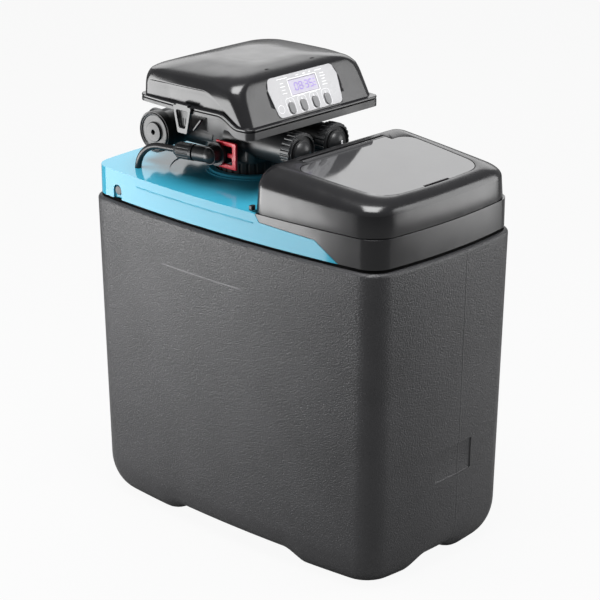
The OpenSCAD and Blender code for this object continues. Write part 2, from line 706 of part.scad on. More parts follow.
// Rear manifold: a cross tube with two necks to the valve and round end caps
manifold_z = deck_z + manifold_rise;
rear_boss_r = 18;
manifold_c = valve_y + manifold_y;
manifold_r = 22;
port_wall = 3;
axle_r = 1.2;
port_y0 = manifold_c + manifold_r + 4;
neck_y = valve_y + 48;
cap_t = 14;
module manifold() {
    color("#18191b") {
        difference() {
            union() {
                translate([cap_t - manifold_half, manifold_c, manifold_z])
                    along_x(manifold_r, 2 * (manifold_half - cap_t));
                for (s = [-1, 1]) translate([s * boss_x, neck_y, manifold_z])
                    along_y(rear_boss_r, port_y0 - neck_y);
            }
            for (s = [-1, 1]) translate([s * boss_x, manifold_c + 6, manifold_z])
                along_y(port_r - port_wall, 40);
        }
        translate([boss_x, manifold_c + 5, manifold_z]) along_y(axle_r, 16);
    }
}
module end_cap() {
    rotate([0, -90, 0]) difference() {
        union() {
            cylinder(r = end_cap_r, h = cap_t - 2);
            cylinder(r = end_cap_r - 2, h = cap_t);
        }
        translate([0, 0, cap_t - 3]) tube(end_cap_r - 5, end_cap_r - 14, 4);
        translate([0, 0, cap_t - 1.5]) tube(end_cap_r - 3.5, end_cap_r - 6, 4);
        translate([0, 0, cap_t - 6]) cylinder(r = 3, h = 8);
    }
}
module end_cap_left() {
    color("#1d1e20") translate([cap_t - manifold_half, manifold_c, manifold_z]) end_cap();
}
module end_cap_right() {
    color("#1d1e20") mirror([1, 0, 0]) translate([cap_t - manifold_half, manifold_c, manifold_z]) end_cap();
}
// Pipe connection: a hexagon flange and a male thread, bored through
module pipe_port() {
    rotate([-90, 0, 0]) difference() {
        union() {
            cylinder(r = port_r + 4.5, h = 6, $fn = 6);
            cylinder(r = port_r, h = 6 + port_len);
        }
        translate([0, 0, -1]) cylinder(r = port_r - port_wall, h = 8 + port_len);
    }
}
module inlet_port() {
    color("#c8a24a") translate([-boss_x, port_y0, manifold_z]) pipe_port();
}
module outlet_port() {
    color("#c8a24a") translate([boss_x, port_y0, manifold_z]) pipe_port();
}
module meter_turbine() {
    r = port_r - port_wall - loose;
    color("#e9e9e6") translate([boss_x, manifold_c + 6 + loose, manifold_z]) rotate([-90, 0, 0])
    difference() {
        union() {
            cylinder(r = 3.5, h = 12);
            for (i = [0:5]) rotate(60 * i) translate([0, -0.7, 1]) cube([r - 0.5, 1.4, 10]);
        }
        translate([0, 0, -1]) cylinder(r = axle_r + run, h = 14);
    }
}
// Drain spigot: a collar on the valve's right side and a longer tube for the hose, bored from its end
drain_r = 6.5;
drain_wall = 2.5;
drain_collar = 14;
drain_len = 36;
module drain_spigot() {
    color("#17181a") translate([drain_x + loose, port_y, port_z + 6]) difference() {
        union() {
            along_x(drain_r + 3.5, drain_collar);
            along_x(drain_r, drain_len);
        }
        translate([drain_wall, 0, 0]) along_x(drain_r - drain_wall, drain_len);
    }
}

// Control head: a stepped base plate, a hollow cover and what they hold
head_front_y = valve_y - head_front;
head_rear_y = valve_y + head_rear;
head_mid_y = (head_front_y + head_rear_y) / 2;
base_t = 4;
chin_t = 9;
lip_gap = 1;
lip_edge = 3;
cover_z = head_z + chin_t + lip_gap;
// Radii of the flange's bowed sides, front and rear
flange_side_r = 800;
flange_front_r = 20000;
flange_rear_r = 2000;
head_o = [head_w / 2, flange_side_r, head_mid_y, head_front_y, flange_front_r, head_rear_y, flange_rear_r];
function head_ring(k) = ring(head_o, [10, 16], [k, k, k]);
// Step line in side view: at height side along the sides, falling in an S to height front at the chin
step_from = head_front_y + 51;
step_to = head_front_y + 19;
function step_line(front, side, far = 80) = concat([[head_rear_y + far, side]],
    [for (i = [0:8]) [step_from + (step_to - step_from) * i / 8,
        front + (side - front) * (0.5 + 0.5 * cos(22.5 * i))]],
    [[head_front_y - far, front]]);
function reversed(l) = [for (i = [len(l) - 1:-1:0]) l[i]];
base_low = step_line(head_z, side_z);
base_top = step_line(head_z + chin_t, side_z + base_t);
lip_z = side_z + base_t + lip_gap;
lip_low = step_line(cover_z, lip_z);
lip_top = step_line(cover_z + lip_edge, lip_z + lip_edge);
module head_prism(k, h) {
    translate([0, 0, head_z - 5]) linear_extrude(h) polygon(head_ring(k));
}
head_screw_r = 2;
screw_len = 12;
module head_screw_places() {
    for (a = [45:90:315]) rotate_about(a) translate([bore_r + 12, 0, 0]) children();
}
latch_y = valve_y - 4.5;
latch_w = 32;
latch_drop = 26;
post_r = 13;
module head_base() {
    color("#17181a") difference() {
        union() {
            intersection() {
                head_prism(0, 60);
                side_prism(concat(base_low, reversed(base_top)), head_w + 2);
            }
            rotate_about(0) translate([0, 0, side_z]) cylinder(r = post_r, h = gear_z - side_z - loose);
            for (s = [-1, 1]) translate([s * (head_w / 2 - 3) - 2, latch_y - latch_w / 2 + 7, side_z - 22])
                cube([4, latch_w - 14, 24]);
        }
        rotate_about(0) translate([0, 0, side_z - 1]) cylinder(r = screw_r + loose, h = gear_z);
        head_screw_places() translate([0, 0, side_z - 1]) cylinder(r = head_screw_r + run, h = 10);
    }
}
// Cover rings by height share t, for a wall inset by w; the front face leans back in one plane
face_inset = 6;
top_rise = 0.02;
cover_w = 5;
recess = 3.2;
// Cover outline at height share t: the top is narrower, and narrower still towards the front
cover_gap = 4;
cover_draft = 2;
top_round = 9.5;
top_side_r = 680;
top_wide_y = head_rear_y - 15;
function cover_o(t, bend) = [head_w / 2 - cover_gap - cover_draft * t - top_round * bend,
    flange_side_r + (top_side_r - flange_side_r) * bend, head_mid_y + (top_wide_y - head_mid_y) * bend,
    head_front_y, flange_front_r, head_rear_y, flange_rear_r];
// Share of the way from the top's edge to its middle is m: the crown rises and the corners open out
function cover_ring(t, w, m = 0) =
    let (u = max(0, (t - 0.55) / 0.45), bend = 1 - sqrt(1 - u * u), z = cover_z + t * face_h)
    let (kf = face_inset + t * face_h * tan(face_lean) + w + 40 * m)
    let (kr = cover_gap - 1 + t + top_round * bend / 2 + w + 46 * m)
    let (g = ring(cover_o(t, bend), [12 + 8 * t, 14] * (1 - 0.3 * m), [w + 64 * m, kf, kr]))
    [for (p = g) [p[0], p[1], z + crown * (1 - (1 - m) * (1 - m)) - (t > 0 ? w : 0)
        + top_rise * t * max(0, p[1] - head_front_y - 38) * (1 - m)]];
cover_steps = [0, 0.3, 0.5, 0.64, 0.76, 0.86, 0.93, 0.975, 1];
crown_steps = [0.2, 0.4, 0.6, 0.8, 1];
// Solid form of the cover's outside, moved in by w
module cover_form(w) {
    loft(concat([for (t = cover_steps) cover_ring(t, w)], [for (m = crown_steps) cover_ring(1, w, m)]));
}
module cover_shell() {
    loft(concat([for (m = [1, 0.6, 0.3]) cover_ring(1, cover_w, m)],
        [for (i = [8, 6, 4, 2, 0]) cover_ring(cover_steps[i], cover_w)],
        [for (t = cover_steps) cover_ring(t, 0)], [for (m = crown_steps) cover_ring(1, 0, m)]));
}
// Side crease: level along the rear, then falling in an S to the front corner
crease_z = side_z + 31;
crease_from = head_front_y + 83;
crease_to = head_front_y + 7;
function crease_line() = concat([[head_rear_y + 20, crease_z]],
    [for (i = [0:10]) [crease_from + (crease_to - crease_from) * i / 10,
        cover_z + (crease_z - cover_z) * (0.5 + 0.5 * cos(18 * i))]]);
module side_recess() {
    difference() {
        side_prism(concat(crease_line(),
            [[crease_to, head_z - 10], [head_rear_y + 20, head_z - 10]]), head_w);
        cover_form(recess);
    }
}
// Plane of the leaning front face: local Y runs up the face and local Z points out of it
module on_face(up = 0) {
    translate([0, head_front_y + face_inset, cover_z]) rotate([90 - face_lean, 0, 0]) translate([0, up, 0])
        children();
}
face_wall = cover_w * (cos(face_lean) + sin(face_lean));
panel_up = 5;
panel_h = 50;
panel_pocket = 1;
panel_t = 1.6;
function panel_outline(grow) = rounded([[-56 - grow, -grow], [56 + grow, -grow], [61 + grow, panel_h * 0.72],
    [56 + grow, panel_h + grow], [-56 - grow, panel_h + grow], [-61 - grow, panel_h * 0.72]], 7);
lcd_w = 48;
lcd_h = 19;
lcd_up = 38;
button_up = 14;
button_pitch = 21;
button_xs = [for (i = [0:3]) (i - 1.5) * button_pitch];
button_r = 4.6;
button_tall = 2.6;
stem_r = 2.5;
module oval(r, h) {
    for (s = [-1, 1]) translate([0, s * button_tall, 0]) cylinder(r = r, h = h);
    translate([-r, -button_tall, 0]) cube([2 * r, 2 * button_tall, h]);
}
module head_cover() {
    color("#121315") difference() {
        union() {
            intersection() {
                difference() {
                    cover_shell();
                    side_recess();
                }
                side_prism(concat(lip_low, [[head_front_y - 80, deck_z * 2],
                    [head_rear_y + 80, deck_z * 2]]), head_w);
            }
            intersection() {
                difference() {
                    head_prism(0, 60);
                    translate([0, 0, -1]) head_prism(12, 70);
                }
                side_prism(concat(lip_low, reversed(lip_top)), head_w + 2);
            }
        }
        on_face(panel_up) translate([0, 0, -panel_pocket]) linear_extrude(6) polygon(panel_outline(loose));
        for (x = button_xs) on_face(button_up) translate([x, 0, -face_wall - 3])
            cylinder(r = stem_r + run, h = 12);
    }
}
module display_panel() {
    color("#5a5c60") on_face(panel_up) translate([0, 0, eps - panel_pocket]) difference() {
        linear_extrude(panel_t) polygon(panel_outline(0));
        translate([-lcd_w / 2, lcd_up - lcd_h / 2 - panel_up, -1]) cube([lcd_w, lcd_h, 4]);
        for (x = button_xs) translate([x, button_up - panel_up, -1]) oval(button_r + loose, 4);
    }
}
module lcd() {
    color("#8f88b8") on_face(lcd_up) translate([loose - lcd_w / 2, loose - lcd_h / 2, eps - panel_pocket])
        cube([lcd_w - 2 * loose, lcd_h - 2 * loose, 1.2]);
}
stem_end = -face_wall - 2;
module button(i) {
    cap_low = button_travel + loose - panel_pocket;
    color("#3f4145") on_face(button_up) translate([button_xs[i], 0, 0]) {
        translate([0, 0, cap_low]) oval(button_r, 2);
        translate([0, 0, stem_end]) cylinder(r = stem_r, h = cap_low + 1 - stem_end);
    }
}
module button_1() {
    button(0);
}
module button_2() {
    button(1);
}
module button_3() {
    button(2);
}
module button_4() {
    button(3);
}
board_t = 1.6;
board_z = stem_end - button_travel - loose - board_t;
module circuit_board() {
    color("#2f6b46") on_face(12) translate([0, 0, board_z]) {
        translate([-52, 0, 0]) cube([104, 38, board_t]);
        for (x = [-46, 46], y = [12, 32]) translate([x, y, board_t - eps])
            cylinder(r = 3, h = eps - board_t - board_z - face_wall - loose);
    }
}
// U-shaped snap loop that hangs from the cover's lip and holds it against the base
module latch() {
    t = 3.2;
    bar = 6;
    taper = 8;
    hook = lip_z + lip_edge + loose;
    low = side_z - latch_drop;
    out_y = latch_w / 2;
    in_y = out_y - bar;
    in_low = low + bar + 1;
    translate([head_w / 2 + loose, latch_y, 0]) {
        difference() {
            side_prism_at(rounded([[-out_y, hook], [taper - out_y, low], [out_y - taper, low], [out_y, hook]],
                2.4), t);
            translate([-1, 0, 0]) side_prism_at(rounded([[-in_y, hook - bar], [taper - 3 - in_y, in_low],
                [in_y - taper + 3, in_low], [in_y, hook - bar]], 2), t + 2);
        }
        translate([-4, -in_y, hook]) cube([4 + t, 2 * in_y, 2]);
        translate([0, -in_y, hook - 3]) cube([t, 2 * in_y, 4]);
    }
}
module side_prism_at(pts, t) {
    rotate([90, 0, 90]) linear_extrude(t) polygon(pts);
}
module latch_right() {
    color("#3a3c3f") latch();
}
module latch_left() {
    color("#3a3c3f") mirror([1, 0, 0]) latch();
}
module head_screws() {
    color("#9da1a5") head_screw_places() translate([0, 0, side_z + base_t]) {
        cylinder(r = 3.6, h = 2.4);
        translate([0, 0, -base_t - screw_len]) cylinder(r = head_screw_r, h = base_t + screw_len + 1);
    }
}

// Involute-like spur gear by its pitch radius, with eased backlash
function tooth(n, m, i) = let (r = n * m / 2, p = 360 / n, a = p * i)
    [for (q = [[-0.36, -1.2], [-0.225, 0], [-0.10, 0.95], [0.10, 0.95], [0.225, 0], [0.36, -1.2]])
        (r + q[1] * m) * [cos(a + q[0] * p), sin(a + q[0] * p)]];
module spur(n, m, h, phase) {
    rotate(phase) linear_extrude(h) polygon([for (i = [0:n - 1]) each tooth(n, m, i)]);
}
centre_gap = (gear_teeth + pinion_teeth) * gear_module / 2 + 0.25;
shaft_r = 1.5;
module at_motor() {
    rotate_about(0) translate([centre_gap, 0, 0]) children();
}
motor_z = side_z + base_t;
module drive_motor() {
    color("#8a8d91") at_motor() translate([0, 0, motor_z]) difference() {
        union() {
            cylinder(r = 15, h = gear_z - motor_z - 3);
            cylinder(r = 5, h = gear_z - motor_z - 1);
        }
        translate([0, 0, 2]) cylinder(r = shaft_r + run, h = gear_z);
    }
}
module motor_pinion() {
    color("#e6e3da") at_motor() {
        translate([0, 0, gear_z]) spur(pinion_teeth, gear_module, gear_h, 180 + 180 / pinion_teeth);
        translate([0, 0, motor_z + 3]) cylinder(r = shaft_r, h = gear_z - motor_z);
    }
}
module drive_gear() {
    color("#e6e3da") rotate_about(0) translate([0, 0, gear_z]) difference() {
        union() {
            spur(gear_teeth, gear_module, gear_h, 0);
            translate([0, 0, gear_h - 1]) cylinder(r = 11, h = 5);
        }
        translate([0, 0, -1]) cylinder(r = screw_r + run, h = gear_h + 8);
        for (i = [0:5]) rotate(60 * i) translate([19, 0, -1]) cylinder(r = 5.5, h = gear_h + 2);
    }
}

cabinet();
rear_cover();
cover_studs();
top_frame();
salt_lid();
hatch_pin();
salt_hatch();
resin_tank();
riser_tube();
lower_basket();
upper_basket();
neck_seal();
brine_well();
well_cap();
brine_valve();
brine_float();
brine_hose();
valve_body();
seal_cage();
piston();
injector();
injector_cap();
blend_dial();
manifold();
end_cap_left();
end_cap_right();
inlet_port();
outlet_port();
meter_turbine();
drain_spigot();
brine_elbow();
brine_nut();
brine_clip();
head_base();
head_cover();
latch_left();
latch_right();
head_screws();
display_panel();
lcd();
button_1();
button_2();
button_3();
button_4();
circuit_board();
drive_motor();
motor_pinion();
drive_gear();
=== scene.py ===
# %% [markdown]
# A cabinet water softener, dressed for a studio picture.
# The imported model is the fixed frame: it says where every piece is and what it moves with.
# Blender only adds finishes, rounded edges and the fine forms of the moulded shells.

# %% Load the frame
import json
import math

import bpy
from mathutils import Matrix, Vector


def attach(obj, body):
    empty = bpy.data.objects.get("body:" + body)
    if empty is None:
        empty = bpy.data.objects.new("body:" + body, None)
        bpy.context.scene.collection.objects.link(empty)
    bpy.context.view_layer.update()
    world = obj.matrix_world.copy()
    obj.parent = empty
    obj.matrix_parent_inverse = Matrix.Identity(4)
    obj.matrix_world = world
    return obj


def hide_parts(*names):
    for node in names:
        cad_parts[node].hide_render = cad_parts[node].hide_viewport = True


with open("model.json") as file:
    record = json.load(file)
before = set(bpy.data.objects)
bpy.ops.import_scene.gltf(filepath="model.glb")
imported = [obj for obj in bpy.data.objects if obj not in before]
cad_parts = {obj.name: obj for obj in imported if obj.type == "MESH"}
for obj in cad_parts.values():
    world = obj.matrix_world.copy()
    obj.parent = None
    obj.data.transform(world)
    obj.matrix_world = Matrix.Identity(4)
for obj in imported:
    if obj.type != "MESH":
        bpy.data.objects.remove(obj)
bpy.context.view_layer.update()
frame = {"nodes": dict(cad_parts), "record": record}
record = frame["record"]
MM = 0.001
slot_of = {part["node"]: part["material_slot"] for part in record["subparts"]}
body_of = {node: body for body, nodes in record["behaviour"]["bodies"].items() for node in nodes}
bpy.ops.object.select_all(action="DESELECT")

# %% [markdown]
# The camera stands where the photographer stood, left of the front and a little above.
# A long lens far away keeps the upright edges almost parallel.
# The small shifts move the picture's centre to where it was, without turning the camera.

# %% Camera
CAMERA_PLACE = Vector((-1.9232, -1.7937, 1.2332))
CAMERA_TARGET = Vector((0.0, 0.0, 0.2825))
bpy.ops.object.camera_add(location=CAMERA_PLACE)
camera = bpy.context.object
camera.rotation_euler = (CAMERA_TARGET - CAMERA_PLACE).to_track_quat("-Z", "Y").to_euler()
camera.data.sensor_width = 36.0
camera.data.lens = 133.44
camera.data.shift_x = 0.0029
camera.data.shift_y = 0.0037
camera.data.clip_end = 50.0
bpy.context.scene.camera = camera
bpy.context.scene.view_settings.view_transform = "Standard"
print("camera", round((CAMERA_TARGET - CAMERA_PLACE).length, 3), "m from its target")

# %% [markdown]
# Materials are small node graphs. These helpers add a node with its settings, join two sockets,
# and start a material that has one Principled shader, so each finish below stays short.

# %% Node helpers
def add_node(material, kind, **settings):
    """A new node; settings are socket values by name, or properties of the node."""
    node = material.node_tree.nodes.new(kind)
    for key, value in settings.items():
        socket = node.inputs.get(key.replace("_", " "))
        if socket is None:
            setattr(node, key, value)
        else:
            socket.default_value = value
    return node


def join(material, source, output, target, socket):
    material.node_tree.links.new(source.outputs[output], target.inputs[socket])


def start_finish(name, colour, roughness):
    """A material with one Principled shader, its shader node and its Object coordinates."""
    material = bpy.data.materials.new(name)
    material.use_nodes = True
    shader = material.node_tree.nodes["Principled BSDF"]
    shader.inputs["Base Color"].default_value = (*colour, 1.0)
    shader.inputs["Roughness"].default_value = roughness
    place = add_node(material, "ShaderNodeTexCoord")
    return material, shader, place


def mottle(material, shader, place, colour, size, amount):
    """Slow colour change over the surface, as resin has from batch to batch."""
    noise = add_node(material, "ShaderNodeTexNoise", Scale=1 / size, Detail=3.0, Roughness=0.55)
    ramp = add_node(material, "ShaderNodeValToRGB")
    ramp.color_ramp.elements[0].position = 0.3
    ramp.color_ramp.elements[1].position = 0.7
    ramp.color_ramp.elements[0].color = (*[c * (1 - amount) for c in colour], 1.0)
    ramp.color_ramp.elements[1].color = (*[c * (1 + amount) for c in colour], 1.0)
    join(material, place, "Object", noise, "Vector")
    join(material, noise, "Fac", ramp, "Fac")
    join(material, ramp, "Color", shader, "Base Color")


def uneven_gloss(material, shader, place, size, low, high):
    """Roughness that drifts between two values, so that reflections aren't perfectly even."""
    noise = add_node(material, "ShaderNodeTexNoise", Scale=1 / size, Detail=4.0)
    span = add_node(material, "ShaderNodeMapRange", From_Min=0.3, From_Max=0.7, To_Min=low, To_Max=high)
    join(material, place, "Object", noise, "Vector")
    join(material, noise, "Fac", span, "Value")
    join(material, span, "Result", shader, "Roughness")


def bump_from(material, source, output, target, depth, strength=1.0):
    """A bump of the given depth, from a height to the normal of a shader or of another bump."""
    bump = add_node(material, "ShaderNodeBump", Strength=strength, Distance=depth)
    join(material, source, output, bump, "Height")
    join(material, bump, "Normal", target, "Normal")
    return bump


def grain(material, shader, place, size, depth):
    """Fine moulded texture as a bump of the given grain size and depth."""
    noise = add_node(material, "ShaderNodeTexNoise", Scale=1 / size, Detail=2.0, Roughness=0.6)
    join(material, place, "Object", noise, "Vector")
    bump_from(material, noise, "Fac", shader, depth)


def set_specular(material, level):
    material.node_tree.nodes["Principled BSDF"].inputs["Specular IOR Level"].default_value = level


def moulded(name, colour, roughness, grain_size, grain_depth, amount=0.08):
    """Injection-moulded plastic: slight mottling, uneven gloss and a fine skin."""
    material, shader, place = start_finish(name, colour, roughness)
    mottle(material, shader, place, colour, 60 * MM, amount)
    uneven_gloss(material, shader, place, 25 * MM, roughness * 0.85, roughness * 1.15)
    grain(material, shader, place, grain_size, grain_depth)
    return material


print("node helpers ready")

# %% [markdown]
# The cabinet is blow-moulded polyethylene. Its mould is etched with a leather-like grain: soft pads about two
# millimetres across with furrows between them. A soft noise gives the pads, and a finer one breaks them up.
# The gloss is low and uneven, so the wall stays semi-matt, with glints on the pads.

# %% Cabinet finish
PAD_SIZE, DUST_SIZE, GRAIN_DEPTH = 2.0 * MM, 1.3 * MM, 0.62 * MM


def leather_grained(name, colour):
    """The finish, with the nodes that the mould lines are joined to later."""
    material, shader, place = start_finish(name, colour, 0.4)
    mottle(material, shader, place, colour, 70 * MM, 0.14)
    uneven_gloss(material, shader, place, PAD_SIZE, 0.24, 0.48)
    pads = add_node(material, "ShaderNodeTexNoise", Scale=1 / PAD_SIZE, Detail=1.0, Roughness=0.5)
    dust = add_node(material, "ShaderNodeTexNoise", Scale=1 / DUST_SIZE, Detail=3.0)
    height = add_node(material, "ShaderNodeMath", operation="ADD")
    for socket, noise in enumerate((pads, dust)):
        join(material, place, "Object", noise, "Vector")
        join(material, noise, "Fac", height, socket)
    bump = bump_from(material, height, "Value", shader, GRAIN_DEPTH)
    set_specular(material, 0.42)
    return material, shader, place, bump


cabinet_grey, cabinet_shader, cabinet_place, cabinet_grain = leather_grained("cabinet_grey", (0.027, 0.027, 0.029))
print("finish", cabinet_grey.name)

# %% [markdown]
# Two fine lines of the mould show on the walls: an upright ridge on the front, where the mould halves meet, a third
# of a millimetre high, and a level line on each long side. The ridge goes into the bump. The level line is a painted
# highlight: a lighter grey put into the colour where that line catches the light.

# %% Mould lines and a painted highlight
PARTING_X, HIGHLIGHT_LINE_Z, RIDGE_HIGH, LINE_FADE = 24.5 * MM, 346 * MM, 0.35 * MM, 15 * MM
MIX_SHARE, MIX_PLAIN, MIX_HIGHLIGHT, MIX_RESULT = 0, 6, 7, 2  # colour sockets of a Mix node, whose names repeat


def distance_from(material, axes, axis, middle, half):
    """How far a point lies outside a band of the given half width."""
    shifted = add_node(material, "ShaderNodeMath", operation="SUBTRACT")
    shifted.inputs[1].default_value = middle
    size = add_node(material, "ShaderNodeMath", operation="ABSOLUTE")
    past = add_node(material, "ShaderNodeMath", operation="SUBTRACT")
    past.inputs[1].default_value = half
    join(material, axes, axis, shifted, 0)
    join(material, shifted, "Value", size, 0)
    join(material, size, "Value", past, 0)
    return past


def soft_step(material, source, low, high, start, end):
    step = add_node(material, "ShaderNodeMapRange", From_Min=low, From_Max=high, To_Min=start, To_Max=end)
    step.interpolation_type = "SMOOTHSTEP"
    join(material, source, 0, step, "Value")
    return step


def mould_line(material, axes, across, middle, along, span_middle, span_half):
    """A narrow ridge at one place across, that fades out at both ends of its span."""
    ridge = soft_step(material, distance_from(material, axes, across, middle, 0.0), 0.2 * MM, 1.3 * MM, 1.0, 0.0)
    span = soft_step(material, distance_from(material, axes, along, span_middle, span_half), -LINE_FADE, 0.0, 1.0, 0.0)
    line = add_node(material, "ShaderNodeMath", operation="MULTIPLY")
    join(material, ridge, 0, line, 0)
    join(material, span, 0, line, 1)
    return line


axes = add_node(cabinet_grey, "ShaderNodeSeparateXYZ")
join(cabinet_grey, cabinet_place, "Object", axes, "Vector")
parting_line = mould_line(cabinet_grey, axes, "X", PARTING_X, "Y", -250 * MM, 50 * MM)
painted_highlight_line = mould_line(cabinet_grey, axes, "Z", HIGHLIGHT_LINE_Z, "Y", 30 * MM, 75 * MM)
bump_from(cabinet_grey, parting_line, "Value", cabinet_grain, RIDGE_HIGH)
# painted highlight: a lighter grey mixed into the colour along the level mould line
painted_highlight_mix = add_node(cabinet_grey, "ShaderNodeMix", data_type="RGBA")
painted_highlight_mix.inputs[MIX_HIGHLIGHT].default_value = (0.13, 0.13, 0.135, 1.0)
plain_colour = cabinet_shader.inputs["Base Color"].links[0].from_node
join(cabinet_grey, painted_highlight_line, "Value", painted_highlight_mix, MIX_SHARE)
join(cabinet_grey, plain_colour, "Color", painted_highlight_mix, MIX_PLAIN)
join(cabinet_grey, painted_highlight_mix, MIX_RESULT, cabinet_shader, "Base Color")
print("mould lines on", cabinet_grey.name)

# %% [markdown]
# The covers and the head are polished injection mouldings. Their gloss is high, with the faint waviness
# that a moulded skin has, which bends reflections a little.

# %% Gloss finishes
cover_blue = moulded("cover_blue", (0.037, 0.28, 0.40), 0.09, 30 * MM, 0.02 * MM, 0.03)
black_gloss = moulded("black_gloss", (0.009, 0.009, 0.010), 0.21, 30 * MM, 0.015 * MM)
black_satin = moulded("black_satin", (0.014, 0.0145, 0.0155), 0.36, 0.9 * MM, 0.02 * MM)
red_plastic = moulded("red_plastic", (0.72, 0.015, 0.035), 0.28, 3 * MM, 0.015 * MM, 0.05)
grey_plastic = moulded("grey_plastic", (0.06, 0.062, 0.065), 0.5, 0.9 * MM, 0.03 * MM)
button_grey = moulded("button_grey", (0.17, 0.17, 0.175), 0.5, 0.6 * MM, 0.03 * MM)
white_plastic = moulded("white_plastic", (0.74, 0.75, 0.76), 0.42, 1.2 * MM, 0.03 * MM, 0.03)
gear_nylon = moulded("gear_nylon", (0.70, 0.68, 0.60), 0.46, 0.8 * MM, 0.03 * MM, 0.04)
seal_rubber = moulded("seal_rubber", (0.012, 0.012, 0.012), 0.62, 0.5 * MM, 0.04 * MM)
hose_black = moulded("hose_black", (0.010, 0.010, 0.011), 0.3, 1.5 * MM, 0.03 * MM)
panel_grey = moulded("panel_grey", (0.37, 0.37, 0.38), 0.3, 5 * MM, 0.01 * MM, 0.04)
set_specular(cover_blue, 0.22)
print("gloss and satin finishes ready")

# %% [markdown]
# A few pieces need a finish of their own: zinc-plated steel with fine drawn lines, the wound shell of the
# pressure tank, the circuit board's solder mask, the smoked hatch plate and the display window.

# %% Special finishes
def drawn_steel(name):
    material, shader, place = start_finish(name, (0.62, 0.63, 0.64), 0.3)
    shader.inputs["Metallic"].default_value = 1.0
    stretch = add_node(material, "ShaderNodeMapping", Scale=(40.0, 40.0, 1200.0))
    lines = add_node(material, "ShaderNodeTexNoise", Scale=1.0, Detail=3.0)
    join(material, place, "Object", stretch, "Vector")
    join(material, stretch, "Vector", lines, "Vector")
    bump_from(material, lines, "Fac", shader, 0.02 * MM, 0.3)
    uneven_gloss(material, shader, place, 6 * MM, 0.24, 0.4)
    return material


def wound_shell(name, colour):
    material, shader, place = start_finish(name, colour, 0.45)
    mottle(material, shader, place, colour, 40 * MM, 0.15)
    turns = add_node(material, "ShaderNodeTexWave", Scale=55.0, Distortion=1.2, Detail=2.0, bands_direction="Z")
    join(material, place, "Object", turns, "Vector")
    bump_from(material, turns, "Fac", shader, 0.3 * MM, 0.35)
    return material


def solder_mask(name, colour):
    material, shader, place = start_finish(name, colour, 0.3)
    tracks = add_node(material, "ShaderNodeTexBrick", Scale=160.0)
    tracks.inputs["Color1"].default_value = (*colour, 1.0)
    tracks.inputs["Color2"].default_value = (*[c * 1.25 for c in colour], 1.0)
    tracks.inputs["Mortar"].default_value = (*[c * 1.9 for c in colour], 1.0)
    join(material, place, "Object", tracks, "Vector")
    join(material, tracks, "Color", shader, "Base Color")
    return material


def smoked_plate(name):
    colour = (0.035, 0.035, 0.037)
    material, shader, place = start_finish(name, colour, 0.1)
    mottle(material, shader, place, colour, 45 * MM, 0.12)
    uneven_gloss(material, shader, place, 30 * MM, 0.04, 0.09)
    shader.inputs["IOR"].default_value = 1.9
    return material


def display_window(name):
    colour = (0.34, 0.32, 0.40)
    material, shader, place = start_finish(name, colour, 0.12)
    mottle(material, shader, place, colour, 12 * MM, 0.08)
    # painted glow: a faint emission in the window's own colour lightens it
    shader.inputs["Emission Color"].default_value = (*colour, 1.0)
    shader.inputs["Emission Strength"].default_value = 0.05
    return material


steel = drawn_steel("steel")
tank_shell = wound_shell("tank_shell", (0.06, 0.10, 0.15))
board_green = solder_mask("board_green", (0.02, 0.13, 0.06))
smoked = smoked_plate("smoked_plate")
lcd_glass = display_window("lcd_glass")
FINISHES = {"cabinet_grey": cabinet_grey, "cover_blue": cover_blue, "black_gloss": black_gloss,
    "black_satin": black_satin, "smoked_plate": smoked, "tank_shell": tank_shell, "white_plastic": white_plastic,
    "seal_rubber": seal_rubber, "steel": steel, "red_plastic": red_plastic, "grey_plastic": grey_plastic,
    "panel_grey": panel_grey, "lcd": lcd_glass, "button_grey": button_grey, "board_green": board_green,
    "gear_nylon": gear_nylon, "hose_black": hose_black}
print("finishes for", len(FINISHES), "slots")

# %% [markdown]
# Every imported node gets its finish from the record's slot, but the two latches are as glossy as the head's cover.
# Nodes inside the cabinet and the head stay as they are, because they show only when a cover is off.

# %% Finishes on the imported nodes
def dress(piece, finish):
    """The piece gets this finish and no other."""
    piece.data.materials.clear()
    piece.data.materials.append(finish)


for name, node in frame["nodes"].items():
    dress(node, black_gloss if name.startswith("latch") else FINISHES[slot_of[name]])
print("dressed", len(frame["nodes"]), "nodes")

# %% [markdown]
# A moulding has no knife edges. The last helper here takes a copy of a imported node, joins its loose triangles,
# clears the flat faces of needless edges, rolls every sharp edge with a narrow bevel and smooths what is curved.
# The copy stands for the node, and moves with the same body. The other helpers serve the later cells too.

# %% Rolled edges
SHARP = math.radians(32)


def claim(piece, node):
    """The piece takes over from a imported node: its body and its place in the picture."""
    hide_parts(node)
    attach(piece, body_of[node])


def only(piece):
    bpy.ops.object.select_all(action="DESELECT")
    piece.select_set(True)
    bpy.context.view_layer.objects.active = piece


def apply_modifier(piece, kind, **settings):
    modifier = piece.modifiers.new(kind.title(), kind)
    for key, value in settings.items():
        setattr(modifier, key, value)
    only(piece)
    bpy.ops.object.modifier_apply(modifier=modifier.name)


def settle(piece):
    """The piece's place and turn go into its mesh."""
    only(piece)
    bpy.ops.object.transform_apply(location=True, rotation=True, scale=True)


def edit_all(piece):
    """Edit mode with everything selected."""
    only(piece)
    bpy.ops.object.mode_set(mode="EDIT")
    bpy.ops.mesh.select_all(action="SELECT")


def join_into(whole, others):
    """The other pieces become part of the first."""
    only(whole)
    for piece in others:
        piece.select_set(True)
    bpy.ops.object.join()


def cut_away(piece, cutter):
    apply_modifier(piece, "BOOLEAN", operation="DIFFERENCE", object=cutter, solver="EXACT")
    bpy.data.objects.remove(cutter)


